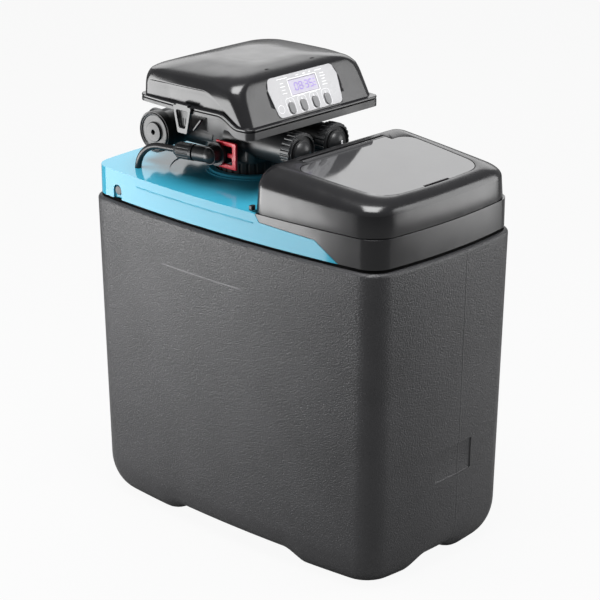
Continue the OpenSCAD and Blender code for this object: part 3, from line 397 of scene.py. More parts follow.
def copy_node(node, name):
    """A merged copy of a node's mesh, with flat faces cleared of needless edges."""
    piece = bpy.data.objects.new(name, frame["nodes"][node].data.copy())
    bpy.context.scene.collection.objects.link(piece)
    edit_all(piece)
    bpy.ops.mesh.remove_doubles(threshold=0.01 * MM)
    bpy.ops.mesh.dissolve_limited(angle_limit=math.radians(0.4))
    bpy.ops.object.mode_set(mode="OBJECT")
    return piece


def fill_where(piece, test):
    """One face over the vertices that pass the test."""
    only(piece)
    bpy.ops.object.mode_set(mode="EDIT")
    bpy.ops.mesh.select_all(action="DESELECT")
    bpy.ops.object.mode_set(mode="OBJECT")
    for vertex in piece.data.vertices:
        vertex.select = test(vertex.co)
    bpy.ops.object.mode_set(mode="EDIT")
    bpy.ops.mesh.select_mode(type="VERT")
    bpy.ops.mesh.edge_face_add()
    bpy.ops.object.mode_set(mode="OBJECT")


def rolled(node, width):
    piece = copy_node(node, node + "_moulding")
    bpy.ops.object.shade_smooth()
    apply_modifier(piece, "BEVEL", width=width, segments=3, limit_method="ANGLE", angle_limit=SHARP,
        miter_outer="MITER_ARC", use_clamp_overlap=True)
    apply_modifier(piece, "WEIGHTED_NORMAL", mode="FACE_AREA", weight=100)
    claim(piece, node)
    return piece


ROLLS = {"rear_cover": 1.6, "top_frame": 1.2, "salt_hatch": 0.8, "cover_studs": 0.6, "brine_hose": 0.3,
    "valve_body": 0.8, "injector_cap": 0.5, "blend_dial": 0.5, "manifold": 0.8, "end_cap_left": 0.7,
    "end_cap_right": 0.7, "inlet_port": 0.5, "outlet_port": 0.5, "drain_spigot": 0.6, "brine_elbow": 0.7,
    "brine_nut": 0.4, "brine_clip": 1.2, "head_base": 0.8, "latch_left": 0.7, "latch_right": 0.7,
    "display_panel": 0.3, "button_1": 0.5, "button_2": 0.5, "button_3": 0.5, "button_4": 0.5}
for node, width in ROLLS.items():
    piece = rolled(node, width * MM)
    print("rolled", piece.name, len(piece.data.polygons), "faces")

# %% [markdown]
# The cabinet, its covers, the salt lid and the head all have bowed outlines: four shallow arcs for the sides, joined by
# rounded corners. Such an outline is easier to work out than to push into shape by hand, so two small functions
# find its points, and a third skins a stack of outlines into one mesh, the way a hull is planked over its frames.

# %% Bowed outlines and skins
def meeting(p, p_radius, q, q_radius):
    """The right-hand point where two circles meet."""
    gap = (q - p).length
    along = (q - p) / gap
    share = (gap * gap + p_radius ** 2 - q_radius ** 2) / (2 * gap)
    rise = math.sqrt(max(0.0, p_radius ** 2 - share * share))
    across = Vector((-along.y, along.x)) * rise
    return max((p + along * share + across, p + along * share - across), key=lambda point: point.x)


def bowed_outline(form, corners, insets, counts=(10, 12, 22)):
    """Points of an outline, from the middle of the front to the right. form: half width, side radius, side centre y,
    front y, front radius, rear y, rear radius. corners: front and rear radius. insets: sides, front and rear."""
    half, side_r, side_y, front_y, front_r, rear_y, rear_r = form
    side, front, rear = Vector((half - side_r, side_y)), Vector((0, front_y + front_r)), Vector((0, rear_y - rear_r))
    radii = (side_r - insets[0], front_r - insets[1], rear_r - insets[2])
    low = meeting(side, radii[0] - corners[0], front, radii[1] - corners[0])
    high = meeting(side, radii[0] - corners[1], rear, radii[2] - corners[1])
    turn = lambda v: math.atan2(v.y, v.x)
    arcs = ((front, radii[1], -math.pi / 2, turn(low - front), counts[0]),
        (low, corners[0], turn(low - front), turn(low - side), counts[1]),
        (side, radii[0], turn(low - side), turn(high - side), counts[2]),
        (high, corners[1], turn(high - side), turn(high - rear), counts[1]),
        (rear, radii[2], turn(high - rear), math.pi / 2, counts[0]))
    right = [middle + radius * Vector((math.cos(a + (b - a) * i / n), math.sin(a + (b - a) * i / n)))
        for middle, radius, a, b, n in arcs for i in range(n)] + [rear + Vector((0, radii[2]))]
    return right + [Vector((-p.x, p.y)) for p in reversed(right[1:-1])]


def skin(name, rings, closed=False):
    """A mesh over rings of millimetre points; closed joins the last ring to the first."""
    count = len(rings[0])
    rows = len(rings) if closed else len(rings) - 1
    faces = [(i * count + j, i * count + (j + 1) % count, (i + 1) % len(rings) * count + (j + 1) % count,
        (i + 1) % len(rings) * count + j) for i in range(rows) for j in range(count)]
    mesh = bpy.data.meshes.new(name)
    mesh.from_pydata([(x * MM, y * MM, z * MM) for ring in rings for x, y, z in ring], [], faces)
    piece = bpy.data.objects.new(name, mesh)
    bpy.context.scene.collection.objects.link(piece)
    return piece


def at_height(outline, z):
    return [(p.x, p.y, z) for p in outline]


def rod(name, sections):
    """A closed bar through the given sections."""
    piece = skin(name, sections)
    edit_all(piece)
    bpy.ops.mesh.fill_holes(sides=0)
    bpy.ops.mesh.normals_make_consistent(inside=False)
    bpy.ops.object.mode_set(mode="OBJECT")
    return piece


HALF_WIDTH, SIDE_RADIUS, HALF_DEPTH, END_RADIUS, CORNER = 144.0, 1801.0, 250.0, 760.0, 34.0
CABINET_FORM = (HALF_WIDTH, SIDE_RADIUS, 0.0, -HALF_DEPTH, END_RADIUS, HALF_DEPTH, END_RADIUS)
CABINET_COUNTS = (30, 14, 70)
foot_line = bowed_outline(CABINET_FORM, (CORNER, CORNER), (0, 0, 0), CABINET_COUNTS)
print("cabinet outline", len(foot_line), "points")

# %% [markdown]
# The cabinet is one blown shell, so nothing on it is sharp. Its walls lean out to the rim, the bottom edge is a deep
# roll, and between the four feet the roll is squeezed up into shallow arches with soft ends. The rim stands a little
# below the covers. The rings run from under the floor, up the outside, over the rim and down the inside.

# %% Cabinet
RIM, BASE_IN, BASE_UP, ARCH_UP, RIM_ROLL, WALL = 404.3, 28.0, 50.0, 12.0, 5.0, 4.0
FLOOR_Z, BELLY_Z, MOUTH, FLOOR_IN, FLOOR_UP = 18.0, 14.0, 14.0, 24.0, 44.0
SIDE_LEAN, END_LEAN = 5.5, 8.5
SIDE_ARCH, SIDE_EASE, SIDE_FROM_X = 138.0, 40.0, 112.0
END_ARCH, END_EASE, END_FROM_Y = 66.0, 48.0, 215.0
WALL_HEIGHTS = (90.0, 160.0, 230.0, 300.0, 360.0)


def ease(share):
    share = min(1.0, max(0.0, share))
    return share * share * (3 - 2 * share)


def arch_rise(point):
    """Rise of the bottom edge between the feet, along a long side or a short end."""
    side = ease((SIDE_ARCH - abs(point.y)) / SIDE_EASE) if abs(point.x) > SIDE_FROM_X else 0.0
    end = ease((END_ARCH - abs(point.x)) / END_EASE) if abs(point.y) > END_FROM_Y else 0.0
    return ARCH_UP * max(side, end)


def cabinet_ring(inset, z, arched=False):
    lean = 1 - z / RIM
    sides, ends = inset + SIDE_LEAN * lean, inset + END_LEAN * lean
    corner = CORNER if arched else max(CORNER - inset, 8.0)
    outline = bowed_outline(CABINET_FORM, (corner, corner), (sides, ends, ends), CABINET_COUNTS)
    rises = [arch_rise(p) if arched else 0.0 for p in foot_line]
    return [(p.x, p.y, rise + z * (BASE_UP - rise) / BASE_UP if arched else z) for p, rise in zip(outline, rises)]


def quarter(steps):
    return [math.pi / 2 * i / steps for i in range(steps + 1)]


shell = [cabinet_ring(BASE_IN + 16, BELLY_Z)]
shell += [cabinet_ring(BASE_IN * (1 - math.sin(a)), BASE_UP * (1 - math.cos(a)), True) for a in quarter(12)]
shell += [cabinet_ring(0.0, z) for z in WALL_HEIGHTS]
shell += [cabinet_ring(RIM_ROLL * (1 - math.cos(a)), RIM - RIM_ROLL * (1 - math.sin(a))) for a in quarter(6)]
shell += [cabinet_ring(MOUTH, RIM), cabinet_ring(MOUTH, RIM - 5), cabinet_ring(WALL, RIM - 20)]
shell += [cabinet_ring(WALL + FLOOR_IN * (1 - math.cos(a)), FLOOR_Z + FLOOR_UP * (1 - math.sin(a))) for a in quarter(6)]
cabinet = skin("cabinet_moulding", shell)
for flat_z in (BELLY_Z, FLOOR_Z):
    fill_where(cabinet, lambda point: abs(point.z - flat_z * MM) < 0.001 * MM)
dress(cabinet, cabinet_grey)
print("cabinet", len(cabinet.data.polygons), "faces, rim at", RIM, "mm")

# %% [markdown]
# The front wall has a shallow field for a label, 1.6 mm deep with soft edges. It is cut by a curved block that follows
# the bow and the lean of the wall.

# %% Label field
FIELD_LEFT, FIELD_RIGHT, FIELD_LOW, FIELD_HIGH, FIELD_DEEP = -19.0, 49.0, 114.0, 155.0, 1.6
CUTTER_OUT, FIELD_STEPS, FIELD_EDGE = -4.0, 17, 1.6


def front_wall(x, z, inset):
    """A point of the front wall, or of a surface inside it."""
    radius = END_RADIUS - inset - END_LEAN * (1 - z / RIM)
    return (x, END_RADIUS - HALF_DEPTH - math.sqrt(radius * radius - x * x), z)


field_xs = [FIELD_LEFT + (FIELD_RIGHT - FIELD_LEFT) * i / FIELD_STEPS for i in range(FIELD_STEPS + 1)]
field = rod("field_cutter", [[front_wall(x, FIELD_LOW, FIELD_DEEP), front_wall(x, FIELD_LOW, CUTTER_OUT),
    front_wall(x, FIELD_HIGH, CUTTER_OUT), front_wall(x, FIELD_HIGH, FIELD_DEEP)] for x in field_xs])
apply_modifier(field, "BEVEL", width=FIELD_EDGE * MM, segments=4, limit_method="ANGLE", angle_limit=math.radians(40))
cut_away(cabinet, field)
only(cabinet)
bpy.ops.object.shade_smooth_by_angle(angle=math.radians(45))
claim(cabinet, "cabinet")
print("cabinet with its label field", len(cabinet.data.polygons), "faces")

# %% [markdown]
# A fine bead runs along each side of the blue skirt, 12 mm below its top, between the stud and the split with the frame.
# The two beads become one piece further down, with the other small fittings.

# %% Skirt bead
SKIRT_INSET, BEAD_Z, BEAD_OUT, BEAD_UP = 5.0, 432.0, 0.45, 0.7
BEAD_YS = range(-56, 150, 5)


def skirt_x(y):
    return HALF_WIDTH - SIDE_RADIUS + math.sqrt((SIDE_RADIUS - SKIRT_INSET) ** 2 - y * y)


def bead_section(side, y):
    turns = [math.pi * i / 4 for i in range(8)]
    return [(side * (skirt_x(y) + BEAD_OUT * math.cos(a)), y, BEAD_Z + BEAD_UP * math.sin(a)) for a in turns]


beads = [rod("bead", [bead_section(side, y) for y in BEAD_YS]) for side in (-1, 1)]
print("skirt beads", len(beads))

# %% [markdown]
# Under the covers' edge runs a gap in shadow, about 4 mm high. A matt black band there is painted shade, set back
# behind the skirt.

# %% Painted shade under the covers
BAND_SECTION = ((9.0, 408.2), (9.0, 404.6), (5.2, 404.4), (6.4, 408.2))
# painted shade: a near-black matt band where the gap under the covers lies in shadow
painted_shade_black = moulded("painted_shade_black", (0.002, 0.002, 0.002), 0.9, 0.8 * MM, 0.02 * MM)
set_specular(painted_shade_black, 0.05)
band_rings = [at_height(bowed_outline(CABINET_FORM, (CORNER - inset, CORNER - inset), (inset, inset, inset)), z)
    for inset, z in BAND_SECTION]
painted_shade_band = skin("painted_shade_band", band_rings, closed=True)
dress(painted_shade_band, painted_shade_black)
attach(painted_shade_band, "cabinet")
print("gap band", len(painted_shade_band.data.polygons), "faces")

# %% [markdown]
# The head's cover is one deep gloss moulding: a leaning front face, sides that round over into a crowned top, and on
# each side a crease that runs level from the rear and then falls in an S to the front corner. Below the crease the
# wall is set back about three millimetres, less towards the rear corners. To keep that crease crisp, rows of the skin
# are laid along it.

# %% Head cover sizes
HEAD_HALF, HEAD_FRONT, HEAD_REAR = 121.0, -31.0, 165.0
HEAD_MIDDLE = (HEAD_FRONT + HEAD_REAR) / 2
COVER_Z, FACE_H, FACE_LEAN, CROWN = 531.0, 54.0, math.radians(26), 5.0
SIDE_LIP_Z, SIDE_CREASE_Z, SETBACK = 544.0, 570.0, 3.2
HEAD_SIDE_R, HEAD_FRONT_R, HEAD_REAR_R = 800.0, 20000.0, 2000.0
SIDE_IN, FACE_IN, REAR_IN = 4.0, 6.0, 3.0
ROUND_FROM, ROUND_OVER, SIDE_ROUND, REAR_ROUND = 0.55, 0.45, 9.5, 4.75
CROWN_SIDE, CROWN_FRONT, CROWN_REAR = 64.0, 40.0, 46.0
TOP_FALL, TOP_FALL_FROM = 0.028, 38.0
FLANGE_FORM = (HEAD_HALF, HEAD_SIDE_R, HEAD_MIDDLE, HEAD_FRONT, HEAD_FRONT_R, HEAD_REAR, HEAD_REAR_R)
COVER_COUNTS = (12, 12, 44)


def cover_ring(t, inset, m=0.0):
    """Outline of the cover at height share t; m is the share of the way over the crown to its middle."""
    u = max(0.0, (t - ROUND_FROM) / ROUND_OVER)
    bend = 1 - math.sqrt(max(0.0, 1 - u * u))
    form = (HEAD_HALF - SIDE_IN - 2 * t - SIDE_ROUND * bend, HEAD_SIDE_R - 120 * bend,
        HEAD_MIDDLE + (HEAD_REAR - 15 - HEAD_MIDDLE) * bend, HEAD_FRONT, HEAD_FRONT_R, HEAD_REAR, HEAD_REAR_R)
    front = FACE_IN + t * FACE_H * math.tan(FACE_LEAN) + inset + CROWN_FRONT * m
    rear = REAR_IN + t + REAR_ROUND * bend + inset + CROWN_REAR * m
    corner = [radius * (1 - 0.3 * m) for radius in (12 + 8 * t, 14 + 20 * bend)]
    rise = COVER_Z + t * FACE_H + CROWN * (1 - (1 - m) ** 2)
    fall = TOP_FALL * t * (1 - m)
    points = bowed_outline(form, corner, (inset + CROWN_SIDE * m, front, rear), COVER_COUNTS)
    return [Vector((p.x, p.y, rise - fall * max(0.0, p.y - HEAD_FRONT - TOP_FALL_FROM))) for p in points]


def s_fall(y, start, end, high, low):
    """High behind start, low in front of end, with an S between."""
    share = min(1.0, max(0.0, (start - y) / (start - end)))
    return low + (high - low) * (0.5 + 0.5 * math.cos(math.pi * share))


def lip_height(y):
    return s_fall(y, HEAD_FRONT + 51, HEAD_FRONT + 19, SIDE_LIP_Z, COVER_Z)


def crease_height(y):
    return s_fall(y, HEAD_FRONT + 83, HEAD_FRONT + 7, SIDE_CREASE_Z, COVER_Z)


print("cover crease from", crease_height(HEAD_REAR), "mm down to", crease_height(HEAD_FRONT), "mm")

# %% [markdown]
# Each upright column of the cover is walked from the lip to the top: below the crease on the set-back wall, over the
# step, then up the outer wall and over the crown. Columns on the front face have no crease, so their lower rows
# fall together and are merged. The rows at the top edge are eased so that the edge is rounded.

# %% Head cover
FINE, LEDGE, FADE_FROM, FADE_OVER = 60, 2.2, 150.0, 40.0
LOW_ROWS, HIGH_ROWS, EASE_FROM, EASE_TO, EASE_TIMES = 6, 22, 24, 41, 26
CROWN_SHARES = (0.04, 0.09, 0.15, 0.22, 0.3, 0.4, 0.5, 0.6, 0.7, 0.8, 0.9, 1.0)
STEP_ROWS = ((0.85, 0.85), (0.55, 0.4), (0.25, 0.1))
walls = {inset: [cover_ring(i / FINE, inset) for i in range(FINE + 1)] for inset in (0.0, SETBACK)}


def on_wall(column, t, inset):
    """A point of the wall, between the outer and the set-back one."""
    i = min(FINE - 1, int(t * FINE))
    share = t * FINE - i
    outer, inner = (walls[k][i][column].lerp(walls[k][i + 1][column], share) for k in (0.0, SETBACK))
    return outer.lerp(inner, inset / SETBACK)


def share_at(column, height):
    """Height share at which a column meets a line given by its height over y, closed in on in six tries."""
    t = 0.0
    for attempt in range(6):
        t = min(1.0, max(0.0, (height(on_wall(column, t, 0.0).y) - COVER_Z) / FACE_H))
    return t


def column_points(column):
    """The points of one column, from the lip to the top of the wall."""
    lip = share_at(column, lip_height)
    crease = max(lip, share_at(column, crease_height))
    ledge = min(LEDGE / FACE_H, crease - lip)
    fade = min(1.0, max(0.0, (FADE_FROM - on_wall(column, lip, 0.0).y) / FADE_OVER))
    depth = SETBACK * fade * min(1.0, (crease - lip) * FACE_H / 8)
    points = [on_wall(column, lip + (crease - ledge - lip) * i / LOW_ROWS, depth) for i in range(LOW_ROWS + 1)]
    points += [on_wall(column, crease - ledge * down, depth * inward) for down, inward in STEP_ROWS]
    shares = [1 - (1 - i / HIGH_ROWS) ** 1.7 for i in range(HIGH_ROWS + 1)]
    return points + [on_wall(column, crease + (1 - crease) * share, 0.0) for share in shares]


crown_rows = [cover_ring(1.0, 0.0, m) for m in CROWN_SHARES]
columns = [column_points(j) + [row[j] for row in crown_rows] for j in range(len(crown_rows[0]))]
for column in columns:
    for easing in range(EASE_TIMES):
        column[EASE_FROM:EASE_TO] = [(column[i - 1] + 2 * column[i] + column[i + 1]) / 4
            for i in range(EASE_FROM, EASE_TO)]
shell_rings = [[tuple(column[i]) for column in columns] for i in range(len(columns[0]))]
head_cover = skin("head_cover_moulding", shell_rings)
edit_all(head_cover)
bpy.ops.mesh.remove_doubles(threshold=0.02 * MM)
bpy.ops.object.mode_set(mode="OBJECT")
fill_where(head_cover, lambda point: abs(point.x) < 45 * MM and 39.6 * MM < point.y < 112.4 * MM)
apply_modifier(head_cover, "SOLIDIFY", thickness=2.4 * MM, offset=-1.0)
print("head cover", len(head_cover.data.polygons), "faces")

# %% [markdown]
# Everything on the leaning face is placed by how far it is across, how far up the face and how far out of it.
# The pocket for the display panel, the holes for the button stems and two narrow ejector slots in the top are cut
# from the cover with Boolean modifiers, each by a cutter that is deleted once it has been used.

# %% Panel pocket, stem holes and slots
FACE_TURN = math.pi / 2 - FACE_LEAN
FACE_FOOT = Vector((0.0, HEAD_FRONT + FACE_IN, COVER_Z)) * MM
FACE_UP = Vector((0.0, math.cos(FACE_TURN), math.sin(FACE_TURN)))
FACE_OUT = Vector((0.0, -math.sin(FACE_TURN), math.cos(FACE_TURN)))
BUTTON_XS = (-31.5, -10.5, 10.5, 31.5)
STEM_UP, STEM_HOLE_R, POCKET_PLAY = 14.0, 2.7, 0.1


def on_face(x, up, out=0.0):
    """A point by millimetres across, up and out of the leaning face."""
    return FACE_FOOT + Vector((x * MM, 0.0, 0.0)) + FACE_UP * up * MM + FACE_OUT * out * MM


def block(name, low, high):
    """A box between two millimetre corners."""
    middle = [(a + b) / 2 * MM for a, b in zip(low, high)]
    bpy.ops.mesh.primitive_cube_add(size=1.0, location=middle)
    piece = bpy.context.object
    piece.name = name
    piece.scale = [(b - a) * MM for a, b in zip(low, high)]
    settle(piece)
    return piece


pocket = copy_node("display_panel", "pocket_cutter")
edit_all(pocket)
bpy.ops.mesh.convex_hull()
bpy.ops.transform.translate(value=FACE_OUT * -POCKET_PLAY * MM)
bpy.ops.object.mode_set(mode="OBJECT")
cut_away(head_cover, pocket)
for x in BUTTON_XS:
    bpy.ops.mesh.primitive_cylinder_add(radius=STEM_HOLE_R * MM, depth=30 * MM, location=on_face(x, STEM_UP),
        rotation=(FACE_TURN, 0, 0))
    hole = bpy.context.object
    settle(hole)
    cut_away(head_cover, hole)
for x in (-40, 40):
    cut_away(head_cover, block("slot", (x - 3.2, 13.4, 570), (x + 3.2, 15.8, 600)))
print("pocket,", len(BUTTON_XS), "stem holes and two slots")

# %% [markdown]
# The lip goes round the cover's foot and follows the same S. It is a thin band with eased edges,
# skinned round its own section, and joined to the cover.

# %% Cover lip
LIP_SECTION = ((10.0, 3.0), (0.9, 3.0), (0.25, 2.75), (0.0, 2.2), (0.0, 0.8), (0.25, 0.25), (0.9, 0.0), (10.0, 0.0))
lip_rings = []
for inset, rise in LIP_SECTION:
    outline = bowed_outline(FLANGE_FORM, (10.0, 16.0), (inset, inset, inset), COVER_COUNTS)
    lip_rings.append([(p.x, p.y, lip_height(p.y) + rise) for p in outline])
lip = skin("cover_lip", lip_rings[::-1], closed=True)
join_into(head_cover, [lip])
dress(head_cover, black_gloss)
bpy.ops.object.shade_smooth_by_angle(angle=math.radians(34))
apply_modifier(head_cover, "WEIGHTED_NORMAL", mode="FACE_AREA", weight=100, keep_sharp=True)
claim(head_cover, "head_cover")
print("head cover with lip", len(head_cover.data.polygons), "faces")

# %% [markdown]
# The salt lid is a shallow hood with a generous rounded shoulder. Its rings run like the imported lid's, but in finer
# steps, so that the shoulder's highlight is smooth.

# %% Salt lid
DECK, LID_REAR, LID_RISE = 444.0, -50.0, 56.0
LID_Z, LID_SLOPE, LID_WALL = DECK + 0.5, math.radians(5), 25.0
SHOULDER_Z, LID_INSET, SHELL = LID_Z + LID_WALL, 6.2, 3.0
HATCH_REAR = LID_REAR - 36
LID_FORM = (HALF_WIDTH, SIDE_RADIUS, 0.0, -HALF_DEPTH, END_RADIUS, LID_REAR, 6000.0)
HATCH_FORM = (HALF_WIDTH, SIDE_RADIUS, 0.0, -222.0, END_RADIUS, HATCH_REAR, 3000.0)
LID_COUNTS = (16, 14, 22)
SHOULDER_FOOT, SHOULDER_SIDE, SHOULDER_FRONT, SHOULDER_REAR = 1.5, 29.0, 18.0, 13.0
HATCH_PLAY, SEAT_IN, SEAT_DROP, SEAT_FOOT, SEAT_OUT = 0.6, -7.0, 4.6, 10.5, 2.6


def lid_outline(side, front, rear):
    return bowed_outline(LID_FORM, (36 - side * 0.25, max(16 - rear * 0.5, 4.0)), (side, front, rear), LID_COUNTS)


def lid_top(y):
    return DECK + LID_RISE + math.tan(LID_SLOPE) * (y - LID_REAR)


def shoulder_ring(angle, wall):
    back = 1 - math.cos(angle)
    foot = SHOULDER_FOOT + wall
    outline = lid_outline(LID_INSET + foot + SHOULDER_SIDE * back, LID_INSET + foot + SHOULDER_FRONT * back,
        foot + SHOULDER_REAR * back)
    return [(p.x, p.y, SHOULDER_Z + (lid_top(p.y) - wall - SHOULDER_Z) * math.sin(angle)) for p in outline]


def hatch_ring(grow, drop):
    outline = bowed_outline(HATCH_FORM, (34 + grow, 18 + grow), (40 - grow, -grow, -grow), LID_COUNTS)
    return [(p.x, p.y, lid_top(p.y) - drop) for p in outline]


lid_rings = [at_height(lid_outline(LID_INSET, LID_INSET, 0.0), LID_Z)]
lid_rings += [shoulder_ring(math.radians(a), 0.0) for a in range(0, 91, 6)]
lid_rings += [hatch_ring(HATCH_PLAY, 0.0), hatch_ring(HATCH_PLAY, SEAT_DROP)]
lid_rings += [hatch_ring(SEAT_IN, SEAT_DROP), hatch_ring(SEAT_IN, SEAT_FOOT)]
lid_rings += [hatch_ring(SEAT_OUT, SEAT_FOOT), hatch_ring(SEAT_OUT, SHELL)]
lid_rings += [shoulder_ring(math.radians(a), SHELL) for a in range(90, -1, -15)]
lid_rings += [at_height(lid_outline(LID_INSET + SHELL, LID_INSET + SHELL, SHELL), LID_Z)]
salt_lid = skin("salt_lid_moulding", lid_rings, closed=True)
print("salt lid", len(salt_lid.data.polygons), "faces")

# %% [markdown]
# The pocket for the hatch's hinge is a plain box, as the mould's slide leaves it. A lug on each side holds the pin.

# %% Hinge pocket of the lid
HINGE_Y, HINGE_DROP, BARREL = HATCH_REAR + 10.5, 3.2, 148.0
HINGE_Z, LUG_X = lid_top(HINGE_Y) - HINGE_DROP, BARREL / 2 + 6.5
hinge_pocket = block("hinge_pocket", (-BARREL / 2 - 1, HINGE_Y - 13, HINGE_Z - 4.4),
    (BARREL / 2 + 1, HINGE_Y + 5.4, HINGE_Z + 7))
cut_away(salt_lid, hinge_pocket)
apply_modifier(salt_lid, "BEVEL", width=0.7 * MM, segments=3, limit_method="ANGLE", angle_limit=math.radians(40))
lugs = [block("lug", (side * LUG_X - 5.4, HATCH_REAR + 0.8, HINGE_Z - 7.4),
    (side * LUG_X + 5.4, HATCH_REAR + 17, HINGE_Z + 1.8)) for side in (-1, 1)]
for lug in lugs:
    apply_modifier(lug, "BEVEL", width=0.6 * MM, segments=2)
join_into(salt_lid, lugs)
dress(salt_lid, black_gloss)
bpy.ops.object.shade_smooth_by_angle(angle=math.radians(34))
claim(salt_lid, "salt_lid")
print("salt lid with lugs", len(salt_lid.data.polygons), "faces")

# %% [markdown]
# The display panel is a printed film. Its print is kept generic: short bars where the captions are, thin outlines
# round the buttons and plain seven-segment digits in the window. Each mark is a thin chip just proud of the film.

# %% Panel print
film_white = moulded("film_white", (0.78, 0.78, 0.8), 0.45, 2 * MM, 0.01 * MM, 0.03)
digit_purple = moulded("digit_purple", (0.22, 0.13, 0.5), 0.4, 2 * MM, 0.01 * MM, 0.05)
FILM, WINDOW, WINDOW_UP = 0.62, 0.22, 38


def chip(x, up, width, height, level):
    """A thin upright chip on the leaning face, centred at x and up."""
    bpy.ops.mesh.primitive_cube_add(size=1.0, location=on_face(x, up, level), rotation=(FACE_TURN, 0, 0))
    piece = bpy.context.object
    piece.scale = (width * MM, height * MM, 0.1 * MM)
    settle(piece)
    return piece


def outline_strip(x, up, half_w, half_h, round_r, line):
    """A flat rounded frame on the film."""
    rings = []
    for grow in (0.0, -line):
        points = []
        for k in range(4):
            middle = Vector(((half_w - round_r) * (1, -1, -1, 1)[k], (half_h - round_r) * (1, 1, -1, -1)[k]))
            turns = [math.pi / 2 * (k + j / 6) for j in range(7)]
            points += [middle + (round_r + grow) * Vector((math.cos(a), math.sin(a))) for a in turns]
        rings.append([tuple(on_face(x + p.x, up + p.y, FILM + 0.05) / MM) for p in points])
    return skin("outline_strip", rings)


def gather(pieces, name, finish, node):
    """Several pieces joined to one that moves with a node's body."""
    join_into(pieces[0], pieces[1:])
    whole = bpy.context.object
    whole.name = name
    dress(whole, finish)
    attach(whole, body_of[node])
    print(name, len(whole.data.polygons), "faces")


captions = [(-35.5, 33 + 4.2 * i, 8.5 - i % 2 * 2.5, 0.8) for i in range(4)]
captions += [(35.5, 32 + 3.6 * i, 9 - i % 3 * 1.8, 0.8) for i in range(5)]
captions += [(-33, 51.2, 19, 0.7), (-6, 51.2, 5, 0.9), (6, 51.2, 4, 0.9), (16, 51.4, 3, 1.2), (31, 51.2, 12, 0.7)]
captions += [(x, 21.8, 2.6, 0.7) for x in BUTTON_XS] + [(x, 23.4, 0.7, 1.6) for x in BUTTON_XS]
chips = [chip(*caption, FILM) for caption in captions]
chips += [outline_strip(x, 16.5, 7.4, 10.2, 4.5, 0.5) for x in BUTTON_XS]
chips += [outline_strip(-49, 15.5, 5.2, 5.2, 5.1, 0.5), outline_strip(0, WINDOW_UP, 25.6, 11.1, 1.5, 0.9)]
gather(chips, "panel_print", film_white, "display_panel")

# %% [markdown]
# The digits are the usual seven bars each: three level ones and four upright ones.

# %% Display digits
BARS = {"top": (0, 4.4, 4.2, 1.1), "middle": (0, 0, 4.2, 1.1), "bottom": (0, -4.4, 4.2, 1.1),
    "upper left": (-2.6, 2.2, 1.1, 3.6), "upper right": (2.6, 2.2, 1.1, 3.6),
    "lower left": (-2.6, -2.2, 1.1, 3.6), "lower right": (2.6, -2.2, 1.1, 3.6)}
MISSING = {0: ("middle",), 3: ("upper left", "lower left"), 8: (), 5: ("upper right", "lower left")}


def digit(value, x):
    return [chip(x + across, WINDOW_UP + up, width, height, WINDOW)
        for name, (across, up, width, height) in BARS.items() if name not in MISSING[value]]


digits = digit(0, -12.5) + digit(8, -4.5) + digit(3, 5.5) + digit(5, 13.5)
digits += [chip(0.5, WINDOW_UP + lift, 1.1, 1.1, WINDOW) for lift in (-2, 2)]
digits += [chip(19.5, 34 + 4 * i, 3.4, 0.8, WINDOW) for i in range(3)]
gather(digits, "display_digits", digit_purple, "lcd")

# %% [markdown]
# Small fittings that the photo shows: grip ribs on the latch tongues and the little brace beside each latch,
# the bead along the blue skirt, the pointer on the blending dial and the stop pegs behind the lid.

# %% Small fittings
RIB_X, RIB_YS, BRACE_X, BRACE_TURN = 119.6, (70, 73.7, 77.4, 81), 117.5, math.radians(-49)
PEG_X = 130
ribs = []
for side in (-1, 1):
    ribs += [block("rib", (side * RIB_X - 0.9, y - 0.7, 519), (side * RIB_X + 0.9, y + 0.7, 531)) for y in RIB_YS]
    bpy.ops.mesh.primitive_cube_add(size=1.0, location=(side * BRACE_X * MM, 55 * MM, 526 * MM),
        rotation=(BRACE_TURN, 0, 0))
    brace = bpy.context.object
    brace.scale = (4.4 * MM, 20 * MM, 2.2 * MM)
    settle(brace)
    ribs.append(brace)
for rib in ribs:
    apply_modifier(rib, "BEVEL", width=0.4 * MM, segments=2)
gather(ribs, "latch_ribs", black_satin, "head_base")
pointer = block("dial_pointer", (29.6, -44.75, 487.4), (32.4, -43.6, 495.2))
apply_modifier(pointer, "BEVEL", width=0.3 * MM, segments=2)
gather([pointer], "dial_pointer", film_white, "blend_dial")
gather(beads, "skirt_beads", cover_blue, "rear_cover")
bpy.ops.object.shade_smooth()
pegs = [block("peg", (side * PEG_X - 3.5, -49.4, DECK), (side * PEG_X + 3.5, -44.5, DECK + 6)) for side in (-1, 1)]
for peg in pegs:
    apply_modifier(peg, "BEVEL", width=0.8 * MM, segments=3)
gather(pegs, "stop_pegs", black_satin, "rear_cover")

# %% [markdown]
# The floor is a pale sweep without corners. Seen straight on it is nearly white, and it still takes a soft shadow.
# To the object it is a darker grey, so that the lower walls don't mirror a glaring floor.

# %% Floor
FLOOR_GLOW = 0.93


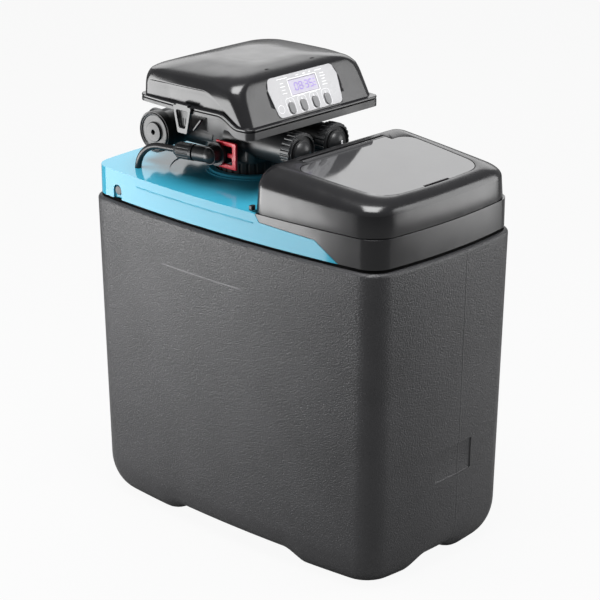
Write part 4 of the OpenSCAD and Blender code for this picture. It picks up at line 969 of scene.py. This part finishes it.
def pale_sweep():
    material, shader, _ = start_finish("pale_sweep", (0.28, 0.28, 0.28), 0.8)
    glow = add_node(material, "ShaderNodeEmission", Strength=1.0)
    seen = add_node(material, "ShaderNodeLightPath")
    share = add_node(material, "ShaderNodeMath", operation="MULTIPLY")
    share.inputs[1].default_value = FLOOR_GLOW
    blend = add_node(material, "ShaderNodeMixShader")
    output = material.node_tree.nodes["Material Output"]
    join(material, seen, "Is Camera Ray", share, 0)
    join(material, share, "Value", blend, "Fac")
    join(material, shader, "BSDF", blend, 1)
    join(material, glow, "Emission", blend, 2)
    join(material, blend, "Shader", output, "Surface")
    return material


bpy.ops.mesh.primitive_plane_add(size=30.0, location=(0.0, 0.0, -0.0005))
floor = bpy.context.object
floor.name = "floor"
dress(floor, pale_sweep())
print("floor", floor.dimensions.x, "m wide")

# %% [markdown]
# Four soft boxes: a near one beside the rear of the long side, which grades that wall from bright to dark, one off the
# front's right, a broad one behind that the level gloss surfaces mirror, and one overhead for the plain level of light.
# None stands by the camera, so the upright corner between the two walls falls dark.

# %% Light
def soft_box(name, place, aim, width, height, watts):
    bpy.ops.object.light_add(type="AREA", location=place)
    lamp = bpy.context.object
    lamp.name = name
    lamp.rotation_euler = (Vector(aim) - Vector(place)).to_track_quat("-Z", "Y").to_euler()
    lamp.data.shape = "RECTANGLE"
    lamp.data.size = width
    lamp.data.size_y = height
    lamp.data.energy = watts
    print("soft box", name, watts, "W")


soft_box("side_box", (-0.748, 0.725, 0.29), (0.152, 0.291, 0.29), 0.85, 0.46, 11.4)
soft_box("front_box", (0.85, -0.94, 0.64), (-0.05, -0.16, 0.55), 0.75, 1.15, 11.4)
soft_box("back_box", (1.98, 1.6, 1.4), (0.0, 0.0, 0.5), 2.6, 0.95, 12.0)
soft_box("top_box", (-0.5, -0.3, 2.6), (-0.05, 0.0, 0.45), 1.5, 1.5, 95.0)

# %% [markdown]
# The world is white where the camera looks past the object, and a dim even grey for everything else.

# %% World
DIM, WHITE = 0.3, 1.0
world = bpy.data.worlds.new("studio")
world.use_nodes = True
bpy.context.scene.world = world
sky = world.node_tree.nodes["Background"]
sky.inputs["Color"].default_value = (1.0, 1.0, 1.0, 1.0)
seen = add_node(world, "ShaderNodeLightPath")
strength = add_node(world, "ShaderNodeMapRange", To_Min=DIM, To_Max=WHITE)
join(world, seen, "Is Camera Ray", strength, "Value")
join(world, strength, "Result", sky, "Strength")
print("world from", DIM, "to", WHITE)
